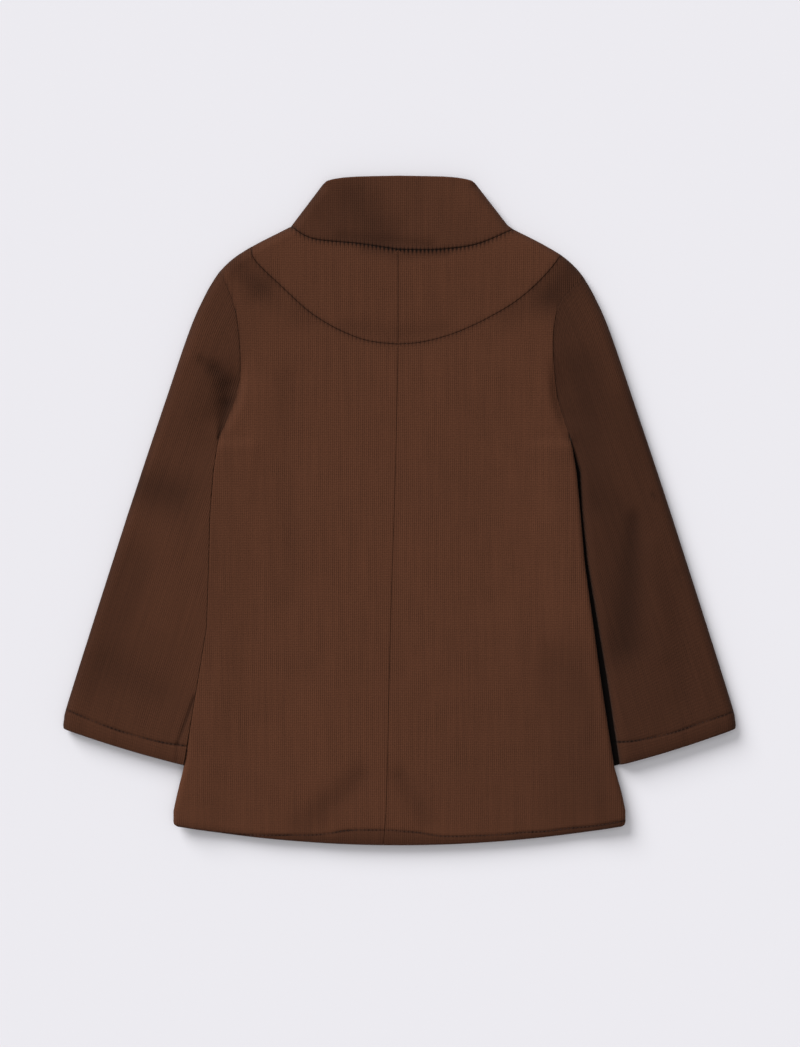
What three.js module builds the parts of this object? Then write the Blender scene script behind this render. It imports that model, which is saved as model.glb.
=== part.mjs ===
// Child's short A-line coat with a stand collar, laid flat on its front with the back facing up.
// Millimetres, +Z up from the table, +Y towards the collar, +X towards the wearer's right sleeve.
// The origin lies under the middle of the outline, on the flat underside.
import * as THREE from 'three';

// Cloth and making
const CLOTH = 1.8; // one layer of bonded rib jersey
const HEM_CLOTH = 2.6; // the same where the hem is turned up inside
const COLLAR_CLOTH = 3; // the collar is cut double and folded along its top edge
const SEAM_GAP = 0.3; // between the edges of two pieces that are sewn together
const HEM_DEPTH = 15.5;
const HEM_STEP = 3; // width of the step from the turned-up cloth to the single one
const CHOCOLATE = '#533426';
const CHOCOLATE_SHADE = '#4a2e22';
const CLOTH_ROUGHNESS = 0.92;

// Heights of the laid coat above the table
const BODY_LOFT = 10; // the back where it lies over the fronts
const NECK_LOFT = 13; // at the neck seam and the collar
const NECK_RISE = [120, 205]; // the back comes up to the neck's height between these two y
const SLEEVE_LOFT = 12;
const SIDE_LOFT = 12; // the side fold, which lies on the margin of the sleeve
const SIDE_LIFT = 5; // the underside of the side fold
const TUCKED_LOFT = 4.6; // the margin of the sleeve, pressed flat under the side fold
const ARMHOLE_DIP = 4; // how far the lower armhole seam sinks
const DIP_END = [90, 125]; // that dip runs out between these two y
const UNDERARM_DIP = 0.35; // share of it at the underarm, and where it reaches its full depth
const FULL_DIP_Y = 75;
const LEAST_HOLLOW = 0.4; // half of the space that stays between two pressed layers

// How the folded edges round over
const FOLD_REACH = 8; // from the edge to where the cloth lies flat
const REACH_PER_HEIGHT = 0.7; // a flatter edge turns more tightly
const SIDE_SHELF = 14; // width of the side fold's lifted underside
const SIDE_SLOPE = 32; // where that underside reaches the table
const SIDE_RISE = 40; // where the back comes down to the body's height
const SLEEVE_RISE = 14; // where the sleeve, beside the side fold, reaches its full height
const BODY_DIP_WIDTH = 4.5; // of the sunk armhole seam, on the body and on the sleeve
const SLEEVE_DIP_WIDTH = 18;
const SHOULDER_BLEND = 40; // from the armhole to where the sleeve has its own height
const ON_FOLD = 0.01; // closer than this counts as on the fold
const BELOW = 40; // the centre line, this far below a point, counts as inside the piece

// Where the sleeve starts to slip under the side fold, down from the underarm, and how far it goes
const UNDERARM_Y = 56.4;
const PRESSED_Y = 45; // from here down the margin is pressed flat
const TUCKED_Y = 18; // from here down it lies fully under the fold
const TUCK = 10;

// Plan of the body
const HEM_Y = -258.8; // lowest point of the hem, at the centre
const HEM_RADIUS = 1006;
const FRONT_OVERLAP = 28; // how far each front passes the centre line
const STEP_CLEAR = 2; // the left front is up by this much before it meets the edge of the right one
const FRONT_STEP = 10; // width of the step where it climbs
const FRONT_NECK_Y = 184;
const NECK_Y = 220;
const NECK_WIDTH = 84; // half of it
const NECK_POWER = 1.8; // how sharply the front neckline turns up at its ends
const FRONT_SCOOP = 7; // the front armhole is cut this much deeper than the back one
const CUFF_BOW = 1.5; // how far the cuff edge bulges
const CUFF_START = 0.8; // share of the sleeve where the bulge begins
const ARMHOLE_REACH = 0.3; // share of the sleeve over which its sections lose the armhole's curve
const UNDERARM_REACH = 0.02; // the same at the underarm
const MIDDLE_OF_SLEEVE = [190, 0]; // x, y
const LEAST_FROM_FOLD = 0.6; // a section's points count as at least this share of their way from its ends

// Plan of the collar
const COLLAR_TOP = 258.8;
const COLLAR_FRONT_TOP = 255.5;
const COLLAR_FRONT_POWER = 4; // how sharply the front's top edge turns down at its ends

// Outline from the neck over the shoulder and down to the cuff, the same on both sides; columns x, y
const OUTER_FOLD = [
  [NECK_WIDTH, NECK_Y], [92.5, 215.7], [110.6, 206.5], [126.1, 197.2], [136.7, 187.9], [143.8, 178.6],
  [151.6, 164.7], [162.4, 140], [182.2, 82], [209.2, 0.9], [253.6, -138.3], [259.8, -161.5], [260.2, -168.6],
];

// Sections across the side fold: its x on each side, and the gap there to the sleeve that shows beside it
const SIDE_SECTIONS = [
  { y: UNDERARM_Y, left: -139.8, right: 132.2, gapLeft: 0.9, gapRight: 0.9 },
  { y: 46, left: -141.3, right: 134.2, gapLeft: 1, gapRight: 1.6 },
  { y: 30, left: -143.6, right: 136.9, gapLeft: 0.6, gapRight: 3 },
  { y: 0, left: -146.1, right: 139.8, gapLeft: 0.4, gapRight: 1.5 },
  { y: -40, left: -147.3, right: 143.2, gapLeft: 0.4, gapRight: 2.2 },
  { y: -90, left: -149, right: 150.6, gapLeft: 0.4, gapRight: 3 },
  { y: -130, left: -155.5, right: 156.5, gapLeft: 0.4, gapRight: 4.3 },
  { y: -165, left: -161.4, right: 162, gapLeft: 0.4, gapRight: 4 },
  { y: -198, left: -166.8, right: 167, gapLeft: 0.4, gapRight: 4 },
  { y: -219, left: -172, right: 172.1, gapLeft: 0.4, gapRight: 4 },
  { y: -232, left: -174.8, right: 174.8, gapLeft: 0.4, gapRight: 4 },
  { y: -243.6, left: -174.8, right: 174.8, gapLeft: 0.4, gapRight: 4 },
];

// Seams of the back in plan: outwards from the centre, the armhole down from the shoulder; columns x, y
const CENTRE_BACK = [[-12.7, HEM_Y], [-10, -221], [-7, -92], [-3.5, 18], [-2, 77], [-1, 128.6]];
const SEAMS = {
  left: {
    neck: [[-1, 201.7], [-30, 206], [-67, 210], [-84, 220]],
    yoke: [[-1, 128.6], [-27, 131.5], [-44, 136.5], [-72, 155.7], [-92, 175], [-115, 203.9]],
    armhole: [
      [-138.8, 185.6], [-131.5, 170], [-125.5, 148], [-123, 110], [-127, 88], [-133, 72],
      [-139.8, UNDERARM_Y],
    ],
    collarSide: [[-84, 220], [-60.4, 251.2]],
  },
  right: {
    neck: [[-1, 201.7], [30, 201.6], [60, 205.8], [88.5, 217.7]],
    yoke: [[-1, 128.6], [27, 132.2], [53, 142.3], [88, 162.4], [104, 175.8], [124.8, 198]],
    armhole: [
      [142.4, 180.6], [131.8, 170], [122.5, 157], [118.8, 130], [121.8, 92], [127, 72.7],
      [132.2, UNDERARM_Y],
    ],
    collarSide: [[88.5, 217.7], [83.8, 221], [60.4, 251.2]],
  },
};

// Top edge of the collar outwards from the centre, on the left and mirrored on the right; columns x, y
const COLLAR_EDGE = [[0, COLLAR_TOP], [34, 258.1], [48.8, 256.6], [56, 254.6], [60.4, 251.2]];

// Largest folds: each runs between two points, and the cloth sinks there by its depth (below 0, it rises)
const FOLDS = [
  { piece: 'sleeve_left', from: [-143, 108], to: [-142, 68], width: 13, depth: 2.5 },
  { piece: 'sleeve_left', from: [-200, 30], to: [-176, 12], width: 9, depth: 1.6 },
  { piece: 'sleeve_right', from: [168, -45], to: [186, -125], width: 9, depth: 2.4 },
  { piece: 'sleeve_right', from: [192, -35], to: [193, -150], width: 8, depth: -1.4 },
  { piece: 'sleeve_right', from: [215, -100], to: [217, -140], width: 10, depth: 1.2 },
  { piece: 'back_left', from: [-85, 100], to: [-84, -70], width: 16, depth: 1 },
  { piece: 'collar', from: [-32, 234], to: [-12, 214], width: 15, depth: 2.2 },
];

// Sampling of the faceted cloth
const ACROSS_STEPS = 9;
const ARMHOLE_STEPS = 10;
const FOLD_STEPS = 60;
const SECTION_Y = [-243.6, -231.5, -226.5, -195, -158, -118, -78, -38, -6, 18, 28, 38, 46, UNDERARM_Y];
const SLEEVE_SECTION_Y = [UNDERARM_Y, 46, 38, 28, 18, 4, -20, -50, -80, -110, -140, -168, -182, -187, -199.2];
const YOKE_STEPS = 3;
const COLLAR_STEPS = 4;
const BACK_SHOULDER_STEPS = 2;
const FRONT_SHOULDER_STEPS = 5;

const { lerp, smoothstep } = THREE.MathUtils;
const point = (x, y) => new THREE.Vector2(x, y);
const through = (rows) => new THREE.SplineCurve(rows.map(([x, y]) => point(x, y)));
const steps = (count) => Array.from({ length: count + 1 }, (_, i) => i / count);

// Stations from the centre (0) to the edge (1), closer together where the cloth rounds over
const ACROSS = steps(ACROSS_STEPS).map((t) => 1 - (1 - t) ** 2);
// Stations along the armhole, closer together at both ends
const ROUND_ARMHOLE = steps(ARMHOLE_STEPS).map((t) => (1 - Math.cos(Math.PI * t)) / 2);

/** Value of one column of the side sections at a height y. */
function sectionAt(y, column) {
  const upper = SIDE_SECTIONS.findLastIndex((row) => row.y >= y);
  const first = SIDE_SECTIONS[THREE.MathUtils.clamp(upper, 0, SIDE_SECTIONS.length - 2)];
  const next = SIDE_SECTIONS[SIDE_SECTIONS.indexOf(first) + 1];
  const share = THREE.MathUtils.clamp((y - first.y) / (next.y - first.y), 0, 1);
  return lerp(first[column], next[column], share);
}

/** Hem line at x: an arc that rises from the centre to the sides. */
const hemAt = (x) => HEM_Y + HEM_RADIUS - Math.sqrt(HEM_RADIUS ** 2 - x ** 2);

/** Front neckline at x: level where the fronts pass each other, turned up to the neck points. */
function frontNeckAt(x) {
  const level = FRONT_OVERLAP + STEP_CLEAR;
  const share = Math.max(0, Math.abs(x) - level) / (NECK_WIDTH - level);
  return FRONT_NECK_Y + (NECK_Y - FRONT_NECK_Y) * share ** NECK_POWER;
}

/** How far the sleeve's margin is pressed flat at a height y, from 0 at the underarm to 1. */
const pressedAt = (y) => 1 - smoothstep(y, PRESSED_Y, UNDERARM_Y);

/** Height of the back before its folds: low on the body, higher towards the neck. */
const loftAt = (y) => BODY_LOFT + (NECK_LOFT - BODY_LOFT) * smoothstep(y, ...NECK_RISE);

/** Depth of the sunk armhole seam at a height y. */
function armholeDipAt(y) {
  const sinks = 1 - smoothstep(y, ...DIP_END);
  const recovers = lerp(UNDERARM_DIP, 1, smoothstep(y, UNDERARM_Y, FULL_DIP_Y));
  return ARMHOLE_DIP * sinks * recovers;
}

/** Nearest point of a line of points to p, with the distance to it, and whether it is an end of the line. */
function nearest(line, p) {
  let best = { distance: Infinity };
  for (let i = 0; i + 1 < line.length; i++) {
    const along = line[i + 1].clone().sub(line[i]);
    const share = THREE.MathUtils.clamp(p.clone().sub(line[i]).dot(along) / along.lengthSq(), 0, 1);
    const foot = line[i].clone().addScaledVector(along, share);
    const distance = foot.distanceTo(p);
    const isEnd = i + share === 0 || i + share === line.length - 1;
    if (distance < best.distance) best = { distance, foot, along, isEnd };
  }
  return best;
}

/** How far p lies inside the nearest of the folds, and the direction from that fold into the piece. */
function nearFold(folds, p, inside) {
  const near = folds.map((fold) => nearest(fold, p)).reduce((a, b) => (b.distance < a.distance ? b : a));
  const normal = point(-near.along.y, near.along.x).normalize();
  if (normal.dot(inside.clone().sub(near.foot)) < 0) normal.negate();
  const away = p.clone().sub(near.foot);
  const isInside = near.distance > ON_FOLD && (near.isEnd || away.dot(normal) > 0);
  return isInside ? { distance: near.distance, inward: away.normalize() } : { distance: 0, inward: normal };
}

/** Sum of the named piece's folds at p, as a depth. */
function foldsAt(piece, p) {
  const depthOf = ({ from, to, width, depth }) => {
    const { distance } = nearest([point(...from), point(...to)], p);
    return depth * Math.exp(-((distance / width) ** 2));
  };
  return FOLDS.filter((fold) => fold.piece === piece).reduce((sum, fold) => sum + depthOf(fold), 0);
}

/**
 * Outer and inner face of the cloth over p. Flat away from a fold; within its reach the section is a quarter
 * ellipse that ends upright on the fold, halfway between the top and the bottom of the coat.
 */
function clothAt(p, { layer, top, bottom, fold, cloth, gap = 0 }) {
  const middle = (top + bottom) / 2;
  const reach = Math.min(FOLD_REACH, REACH_PER_HEIGHT * (top - bottom));
  const lean = Math.max(0, 1 - fold.distance / reach);
  const rise = Math.sqrt(1 - lean ** 2);
  const up = layer === 'top' ? 1 : -1;
  const half = (top - bottom) / 2 - gap / 2;
  const wall = Math.min(cloth, half - LEAST_HOLLOW);
  const start = middle + (up * gap) / 2;
  const innerPlan = p.clone().addScaledVector(fold.inward, wall * lean);
  return {
    outer: new THREE.Vector3(p.x, p.y, start + up * half * rise),
    inner: new THREE.Vector3(innerPlan.x, innerPlan.y, start + up * (half - wall) * rise),
  };
}

/** Moves each point of a line by the distance, square to the line and towards the inside point. */
function drawnBack(line, inside, distance) {
  return line.map((p, i) => {
    const along = line[Math.min(i + 1, line.length - 1)].clone().sub(line[Math.max(i - 1, 0)]);
    const normal = point(-along.y, along.x).normalize();
    if (normal.dot(inside.clone().sub(p)) < 0) normal.negate();
    return p.clone().addScaledVector(normal, distance);
  });
}

/** Running share of a line's length at each of its points, from 0 to 1. */
function shares(line) {
  const lengths = [0];
  for (let i = 1; i < line.length; i++) lengths.push(lengths[i - 1] + line[i].distanceTo(line[i - 1]));
  return lengths.map((length) => length / lengths.at(-1));
}

/**
 * Plan of a panel between four edges, as rows of points: each point blends the two edges across and the two
 * along, less the blend of the corners. The sewn edges are first drawn back by half the seam gap.
 */
function panelPlan({ hem, top, centre, edge, sewn = {} }) {
  const inside = hem[0].clone().add(edge.at(-1)).multiplyScalar(0.5);
  const back = (name, line) => (sewn[name] ? drawnBack(line, inside, SEAM_GAP / 2) : line);
  const [low, high] = [back('hem', hem), back('top', top)];
  const [near, far] = [back('centre', centre), edge.slice()];
  const join = (a, b, corner) => a.clone().add(b).sub(corner);
  const last = hem.length - 1;
  const end = edge.length - 1;
  const corners = [
    join(low[0], near[0], hem[0]), join(low[last], far[0], hem[last]),
    join(high[0], near[end], top[0]), join(high[last], far[end], top[last]),
  ];
  [low[0], low[last], high[0], high[last]] = corners;
  [near[0], far[0], near[end], far[end]] = corners;
  return shares(edge).map((v, row) => ACROSS.map((u, column) => {
    const p = point(0, 0);
    p.addScaledVector(low[column], 1 - v).addScaledVector(high[column], v);
    p.addScaledVector(near[row], 1 - u).addScaledVector(far[row], u);
    p.addScaledVector(corners[0], -(1 - u) * (1 - v)).addScaledVector(corners[1], -u * (1 - v));
    return p.addScaledVector(corners[2], -(1 - u) * v).addScaledVector(corners[3], -u * v);
  }));
}

/**
 * Closed wall between rows of outer and inner points; a tube when the last column joins the first. Each
 * four-sided facet is split along its shorter diagonal.
 */
function wallGeometry(rows, tube = false) {
  const [height, width] = [rows.length, rows[0].length];
  const points = rows.flat();
  const vertices = [...points.map((p) => p.outer), ...points.map((p) => p.inner)];
  const outer = (row, column) => row * width + (column % width);
  const inner = (row, column) => outer(row, column) + points.length;
  const index = [];
  const quad = (a, b, c, d) => index.push(a, b, c, a, c, d);
  const columns = tube ? width : width - 1;
  for (let r = 0; r + 1 < height; r++) {
    for (let c = 0; c < columns; c++) {
      const facet = [outer(r, c), outer(r, c + 1), outer(r + 1, c + 1), outer(r + 1, c)];
      const diagonal = (from, to) => vertices[facet[from]].distanceTo(vertices[facet[to]]);
      const halves = diagonal(0, 2) < diagonal(1, 3) ? [[0, 1, 2], [0, 2, 3]] : [[1, 2, 3], [1, 3, 0]];
      for (const corners of halves) {
        const triangle = corners.map((corner) => facet[corner]);
        index.push(...triangle, ...triangle.map((vertex) => vertex + points.length).reverse());
      }
    }
    if (tube) continue;
    quad(outer(r, 0), outer(r + 1, 0), inner(r + 1, 0), inner(r, 0));
    quad(outer(r, columns), inner(r, columns), inner(r + 1, columns), outer(r + 1, columns));
  }
  for (let c = 0; c < columns; c++) {
    quad(outer(0, c), inner(0, c), inner(0, c + 1), outer(0, c + 1));
    quad(outer(height - 1, c), outer(height - 1, c + 1), inner(height - 1, c + 1), inner(height - 1, c));
  }
  return facingOut(new THREE.BufferGeometry().setFromPoints(vertices), index);
}

/** Sets the faces on a geometry, turned over as a whole when they enclose a volume below 0. */
function facingOut(geometry, index) {
  const at = (i) => new THREE.Vector3().fromBufferAttribute(geometry.getAttribute('position'), i);
  let volume = 0;
  for (let i = 0; i < index.length; i += 3) {
    volume += at(index[i]).dot(at(index[i + 1]).cross(at(index[i + 2])));
  }
  geometry.setIndex(volume < 0 ? index.reverse() : index);
  return geometry;
}

/** Thickness of the cloth at a distance from a turned-up hem. */
const hemmedAt = (distance) => lerp(HEM_CLOTH, CLOTH, smoothstep(distance, HEM_DEPTH - HEM_STEP, HEM_DEPTH));

/** One half of the coat: its folds, its armhole and the heights of its cloth. */
class Half {
  constructor(name) {
    this.name = name;
    this.sign = name === 'left' ? -1 : 1;
    this.gap = name === 'left' ? 'gapLeft' : 'gapRight';
    this.seams = SEAMS[name];
    this.outline = through(OUTER_FOLD.map(([x, y]) => [this.sign * x, y]));
    this.outerFold = this.outline.getSpacedPoints(FOLD_STEPS);
    this.sideFold = SECTION_Y.map((y) => point(sectionAt(y, name), y));
    this.sleeveFold = SLEEVE_SECTION_Y.map((y) => point(this.showingAt(y) - this.sign * this.tuckAt(y), y));
    const armhole = through(this.seams.armhole);
    this.armhole = ROUND_ARMHOLE.map((share) => armhole.getPointAt(share));
    this.frontArmhole = this.armhole.map((p, i) => {
      const scoop = FRONT_SCOOP * Math.sin((Math.PI * i) / ARMHOLE_STEPS) ** 2;
      return point(p.x - this.sign * scoop, p.y);
    });
  }

  /** x of the sleeve's edge that shows beside the side fold. */
  showingAt(y) {
    return sectionAt(y, this.name) + this.sign * sectionAt(y, this.gap);
  }

  /** How far the sleeve lies under the side fold at a height y. */
  tuckAt(y) {
    return TUCK * (1 - smoothstep(y, TUCKED_Y, PRESSED_Y));
  }

  /** Points of the outline between two places given by their distance from the centre line. */
  outlineBetween(from, to, count) {
    const shareAt = (x) => {
      const line = shares(this.outerFold);
      const i = this.outerFold.findIndex((p) => Math.abs(p.x) >= x);
      if (i <= 0) return i < 0 ? 1 : 0;
      const [a, b] = [this.outerFold[i - 1], this.outerFold[i]].map((p) => Math.abs(p.x));
      return lerp(line[i - 1], line[i], (x - a) / (b - a));
    };
    const [first, last] = [shareAt(Math.abs(from)), shareAt(Math.abs(to))];
    return steps(count).map((t) => this.outline.getPointAt(lerp(first, last, t)));
  }

  /** Top of the back at p, before its named folds. */
  bodyTop(p) {
    const inset = (sectionAt(p.y, this.name) - p.x) * this.sign;
    const onSleeve = pressedAt(p.y) * (1 - smoothstep(inset, SIDE_SHELF, SIDE_RISE));
    const near = nearest(this.armhole, p).distance;
    const dip = armholeDipAt(p.y) * Math.exp(-((near / BODY_DIP_WIDTH) ** 2));
    return loftAt(p.y) + (SIDE_LOFT - BODY_LOFT) * onSleeve - dip;
  }

  /** Underside of the fronts at p: on the table, and lifted where the side fold lies on the sleeve. */
  bodyBottom(p) {
    const inset = (sectionAt(p.y, this.name) - p.x) * this.sign;
    return SIDE_LIFT * pressedAt(p.y) * (1 - smoothstep(inset, SIDE_SHELF, SIDE_SLOPE));
  }

  /** Top of the sleeve at p, before its named folds. */
  sleeveTop(p) {
    const near = nearest(this.armhole, p).distance;
    const full = lerp(loftAt(p.y), SLEEVE_LOFT, smoothstep(near, 0, SHOULDER_BLEND));
    const dip = armholeDipAt(p.y) * Math.exp(-((near / SLEEVE_DIP_WIDTH) ** 2));
    const outside = (p.x - this.showingAt(p.y)) * this.sign;
    const pressed = pressedAt(p.y) * (1 - smoothstep(outside, 0, SLEEVE_RISE));
    return lerp(full - dip - foldsAt(`sleeve_${this.name}`, p), TUCKED_LOFT, pressed);
  }

  /** Cloth of a body panel over p. */
  bodyCloth(p, piece, layer, step = 0) {
    const inside = point(0, p.y - BELOW);
    const fold = nearFold([this.outerFold, this.sideFold], p, inside);
    const top = this.bodyTop(p) - (layer === 'top' ? foldsAt(piece, p) : 0);
    const bottom = this.bodyBottom(p) + step;
    const cloth = hemmedAt(p.y - hemAt(p.x));
    return clothAt(p, { layer, top, bottom, fold, cloth, gap: SEAM_GAP });
  }

  /** Outline of a body panel from the hem up the side fold and the armhole to its end on the shoulder. */
  panelEdge(armhole, shoulderEnd, shoulderSteps) {
    const shoulder = this.outlineBetween(armhole[0].x, shoulderEnd, shoulderSteps);
    const corner = point(this.sideFold[0].x, hemAt(this.sideFold[0].x));
    return [corner, ...this.sideFold.slice(1), ...armhole.slice(0, -1).reverse(), ...shoulder.slice(1)];
  }

  /** The same outline with the armhole's part drawn back by half the seam gap. */
  edgeDrawnBack(edge) {
    const first = SECTION_Y.length - 1;
    const last = first + ARMHOLE_STEPS;
    const moved = drawnBack(edge.slice(first, last + 1), point(0, NECK_Y), SEAM_GAP / 2);
    return [...edge.slice(0, first), ...moved, ...edge.slice(last + 1)];
  }

  /** Hem from a point of the centre line out to the side fold. */
  hem(centreX) {
    return ACROSS.map((u) => {
      const x = lerp(centreX, this.sideFold[0].x, u);
      return point(x, hemAt(x));
    });
  }

  /** Back panel between the hem, the centre back seam, the yoke seam and the outline. */
  back() {
    const yoke = through(this.seams.yoke);
    const top = ACROSS.map((u) => yoke.getPointAt(u));
    const edge = this.edgeDrawnBack(this.panelEdge(this.armhole, top.at(-1).x, BACK_SHOULDER_STEPS));
    edge[edge.length - 1] = top.at(-1).clone();
    const centreBack = through(CENTRE_BACK);
    const centre = shares(edge).map((v) => centreBack.getPointAt(v));
    const plan = panelPlan({
      hem: this.hem(CENTRE_BACK[0][0]), top, centre, edge, sewn: { top: true, centre: true },
    });
    return wallGeometry(plan.map((row) => row.map((p) => this.bodyCloth(p, `back_${this.name}`, 'top'))));
  }

  /** Yoke between the yoke seam, the neck seam, the centre back seam and the shoulder. */
  yoke() {
    const [low, high] = [through(this.seams.yoke), through(this.seams.neck)];
    const hem = ACROSS.map((u) => low.getPointAt(u));
    const top = ACROSS.map((u) => high.getPointAt(u));
    const shoulder = this.outlineBetween(hem.at(-1).x, top.at(-1).x, YOKE_STEPS);
    const edge = [hem.at(-1).clone(), ...shoulder.slice(1, -1), top.at(-1).clone()];
    const centre = shares(edge).map((v) => hem[0].clone().lerp(top[0], v));
    const plan = panelPlan({ hem, top, centre, edge, sewn: { hem: true, top: true, centre: true } });
    return wallGeometry(plan.map((row) => row.map((p) => this.bodyCloth(p, `yoke_${this.name}`, 'top'))));
  }

  /** x on this side where the strip that passes the centre line begins. */
  get stripX() {
    return this.sign * (FRONT_OVERLAP + STEP_CLEAR);
  }

  /** How far a layer of the given cloth is raised at x: the left one climbs on the right one. */
  frontStep(x, cloth) {
    if (this.name === 'right') return 0;
    return (cloth + SEAM_GAP) * smoothstep(x, this.stripX - FRONT_STEP, this.stripX);
  }

  /** Neckline of the front from the strip out to the neck point. */
  frontNeck() {
    const end = point(...this.seams.neck.at(-1));
    const stray = end.y - frontNeckAt(end.x);
    return ACROSS.map((u) => {
      const x = lerp(this.stripX, end.x, u);
      return point(x, frontNeckAt(x) + stray * u ** 2);
    });
  }

  /** Rows of a front panel with the strip that passes the centre line, between two lines given at x. */
  withStrip(plan, lowAt, highAt) {
    return plan.map((row, i) => {
      const share = (row[0].y - plan[0][0].y) / (plan.at(-1)[0].y - plan[0][0].y);
      const strip = [-this.sign * FRONT_OVERLAP, 0].map((x) => point(x, lerp(lowAt(x), highAt(x), share)));
      return [...strip, ...row];
    });
  }

  /** Front panel, which passes the centre line and lies under the back. */
  front() {
    const top = this.frontNeck();
    const edge = this.edgeDrawnBack(this.panelEdge(this.frontArmhole, top.at(-1).x, FRONT_SHOULDER_STEPS));
    edge[edge.length - 1] = top.at(-1).clone();
    const hem = this.hem(this.stripX);
    const centre = shares(edge).map((v) => hem[0].clone().lerp(top[0], v));
    const plan = panelPlan({ hem, top, centre, edge, sewn: { top: true } });
    const rows = this.withStrip(plan, hemAt, (x) => frontNeckAt(x) - SEAM_GAP / 2);
    const name = `front_${this.name}`;
    const stepAt = (p) => this.frontStep(p.x, hemmedAt(p.y - hemAt(p.x)));
    return wallGeometry(rows.map((row) => row.map((p) => this.bodyCloth(p, name, 'bottom', stepAt(p)))));
  }

  /** Sleeve: sections from the armhole to the cuff, each a flat ring from the outer fold to the inner one. */
  sleeve() {
    const inner = this.sleeveFold;
    const outerCurve = new THREE.SplineCurve(this.outlineBetween(this.armhole[0].x, Infinity, FOLD_STEPS));
    const middle = point(this.sign * MIDDLE_OF_SLEEVE[0], MIDDLE_OF_SLEEVE[1]);
    const back = drawnBack(this.armhole, middle, SEAM_GAP / 2);
    const front = drawnBack(this.frontArmhole, middle, SEAM_GAP / 2);
    const length = inner.reduce((sum, p, i) => (i ? sum + p.distanceTo(inner[i - 1]) : 0), 0);
    const rows = shares(inner).map((f, section) => {
      const [a, b] = [outerCurve.getPointAt(f), inner[section]];
      const bow = CUFF_BOW * smoothstep(f, CUFF_START, 1);
      const clothOn = (line, layer) => line.map((onArmhole, i) => {
        const share = ROUND_ARMHOLE[i];
        const chord = line[0].clone().lerp(line.at(-1), share);
        const keepsCurve = Math.max(0, 1 - f / lerp(ARMHOLE_REACH, UNDERARM_REACH, share)) ** 2;
        const p = a.clone().lerp(b, share).addScaledVector(onArmhole.clone().sub(chord), keepsCurve);
        p.y -= bow * Math.sin(Math.PI * share);
        const fold = nearFold([this.outerFold, inner], p, middle);
        const least = LEAST_FROM_FOLD * Math.min(share, 1 - share) * a.distanceTo(b);
        fold.distance = Math.max(fold.distance, least);
        const cloth = hemmedAt((1 - f) * length);
        return clothAt(p, { layer, top: this.sleeveTop(p), bottom: 0, fold, cloth });
      });
      return [...clothOn(back, 'top'), ...clothOn(front, 'bottom').slice(1, -1).reverse()];
    });
    return wallGeometry(rows, true);
  }

  /** Plan of half of the collar: its back part, or the front part with the end that passes the centre. */
  collarPlan(part) {
    const neck = through(this.seams.neck);
    const isBack = part === 'back';
    const hem = isBack ? ACROSS.map((u) => neck.getPointAt(u)) : this.frontNeck();
    const edgeLine = through(COLLAR_EDGE.map(([x, y]) => [this.sign * x, y]));
    const side = new THREE.Path(this.seams.collarSide.map(([x, y]) => point(x, y)));
    const edge = steps(COLLAR_STEPS).map((v) => side.getPointAt(v));
    const end = edge.at(-1);
    const frontTopAt = (x) => lerp(COLLAR_FRONT_TOP, end.y, Math.abs(x / end.x) ** COLLAR_FRONT_POWER);
    const top = ACROSS.map((u) => {
      if (isBack) return edgeLine.getPointAt(u);
      const x = lerp(this.stripX, end.x, u);
      return point(x, frontTopAt(x));
    });
    const centre = steps(COLLAR_STEPS).map((v) => hem[0].clone().lerp(top[0], v));
    const plan = panelPlan({ hem, top, centre, edge, sewn: { hem: true } });
    return isBack ? plan : this.withStrip(plan, (x) => frontNeckAt(x) + SEAM_GAP / 2, frontTopAt);
  }

  /** Columns of the collar's cloth on one layer, from the centre out to the side. */
  collarCloth(part) {
    const side = this.seams.collarSide.map(([x, y]) => point(x, y));
    const layer = part === 'back' ? 'top' : 'bottom';
    const at = (p) => {
      const fold = nearFold([side], p, point(0, p.y - BELOW));
      const bottom = layer === 'top' ? 0 : this.frontStep(p.x, COLLAR_CLOTH);
      const top = loftAt(p.y) - (layer === 'top' ? foldsAt('collar', p) : 0);
      return clothAt(p, { layer, top, bottom, fold, cloth: COLLAR_CLOTH });
    };
    return this.collarPlan(part).map((row) => row.map(at));
  }
}

/** Collar: one strip from its right front end round the back to its left front end. */
function collar(left, right) {
  const [rightFront, rightBack] = [right.collarCloth('front'), right.collarCloth('back')];
  const [leftFront, leftBack] = [left.collarCloth('front'), left.collarCloth('back')];
  return wallGeometry(rightFront.map((row, i) => {
    const back = [...rightBack[i].slice(1, -1).reverse(), ...leftBack[i].slice(0, -1)];
    return [...row, ...back, ...leftFront[i].slice().reverse()];
  }));
}

/** Named piece of the coat in its colour. */
function piece(name, geometry, colour) {
  const finish = { color: colour, roughness: CLOTH_ROUGHNESS, metalness: 0 };
  geometry.computeVertexNormals();
  const mesh = new THREE.Mesh(geometry, new THREE.MeshStandardMaterial(finish));
  mesh.name = name;
  return mesh;
}

const coat = new THREE.Group();
const left = new Half('left');
const right = new Half('right');
for (const half of [left, right]) {
  coat.add(piece(`back_${half.name}`, half.back(), CHOCOLATE));
  coat.add(piece(`yoke_${half.name}`, half.yoke(), CHOCOLATE));
  coat.add(piece(`front_${half.name}`, half.front(), CHOCOLATE_SHADE));
  coat.add(piece(`sleeve_${half.name}`, half.sleeve(), CHOCOLATE));
}
coat.add(piece('collar', collar(left, right), CHOCOLATE_SHADE));

export default coat;
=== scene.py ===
"""Short coat of fine rib jersey, laid flat on its front and seen from straight above.

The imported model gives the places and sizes. Each cloth piece is made again here as a finer shell on the
same plan and heights, with its seams, creases, stitching and rib.
"""
import logging
import math
from collections.abc import Callable
from dataclasses import dataclass, field
from enum import Enum
from typing import NamedTuple

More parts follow.
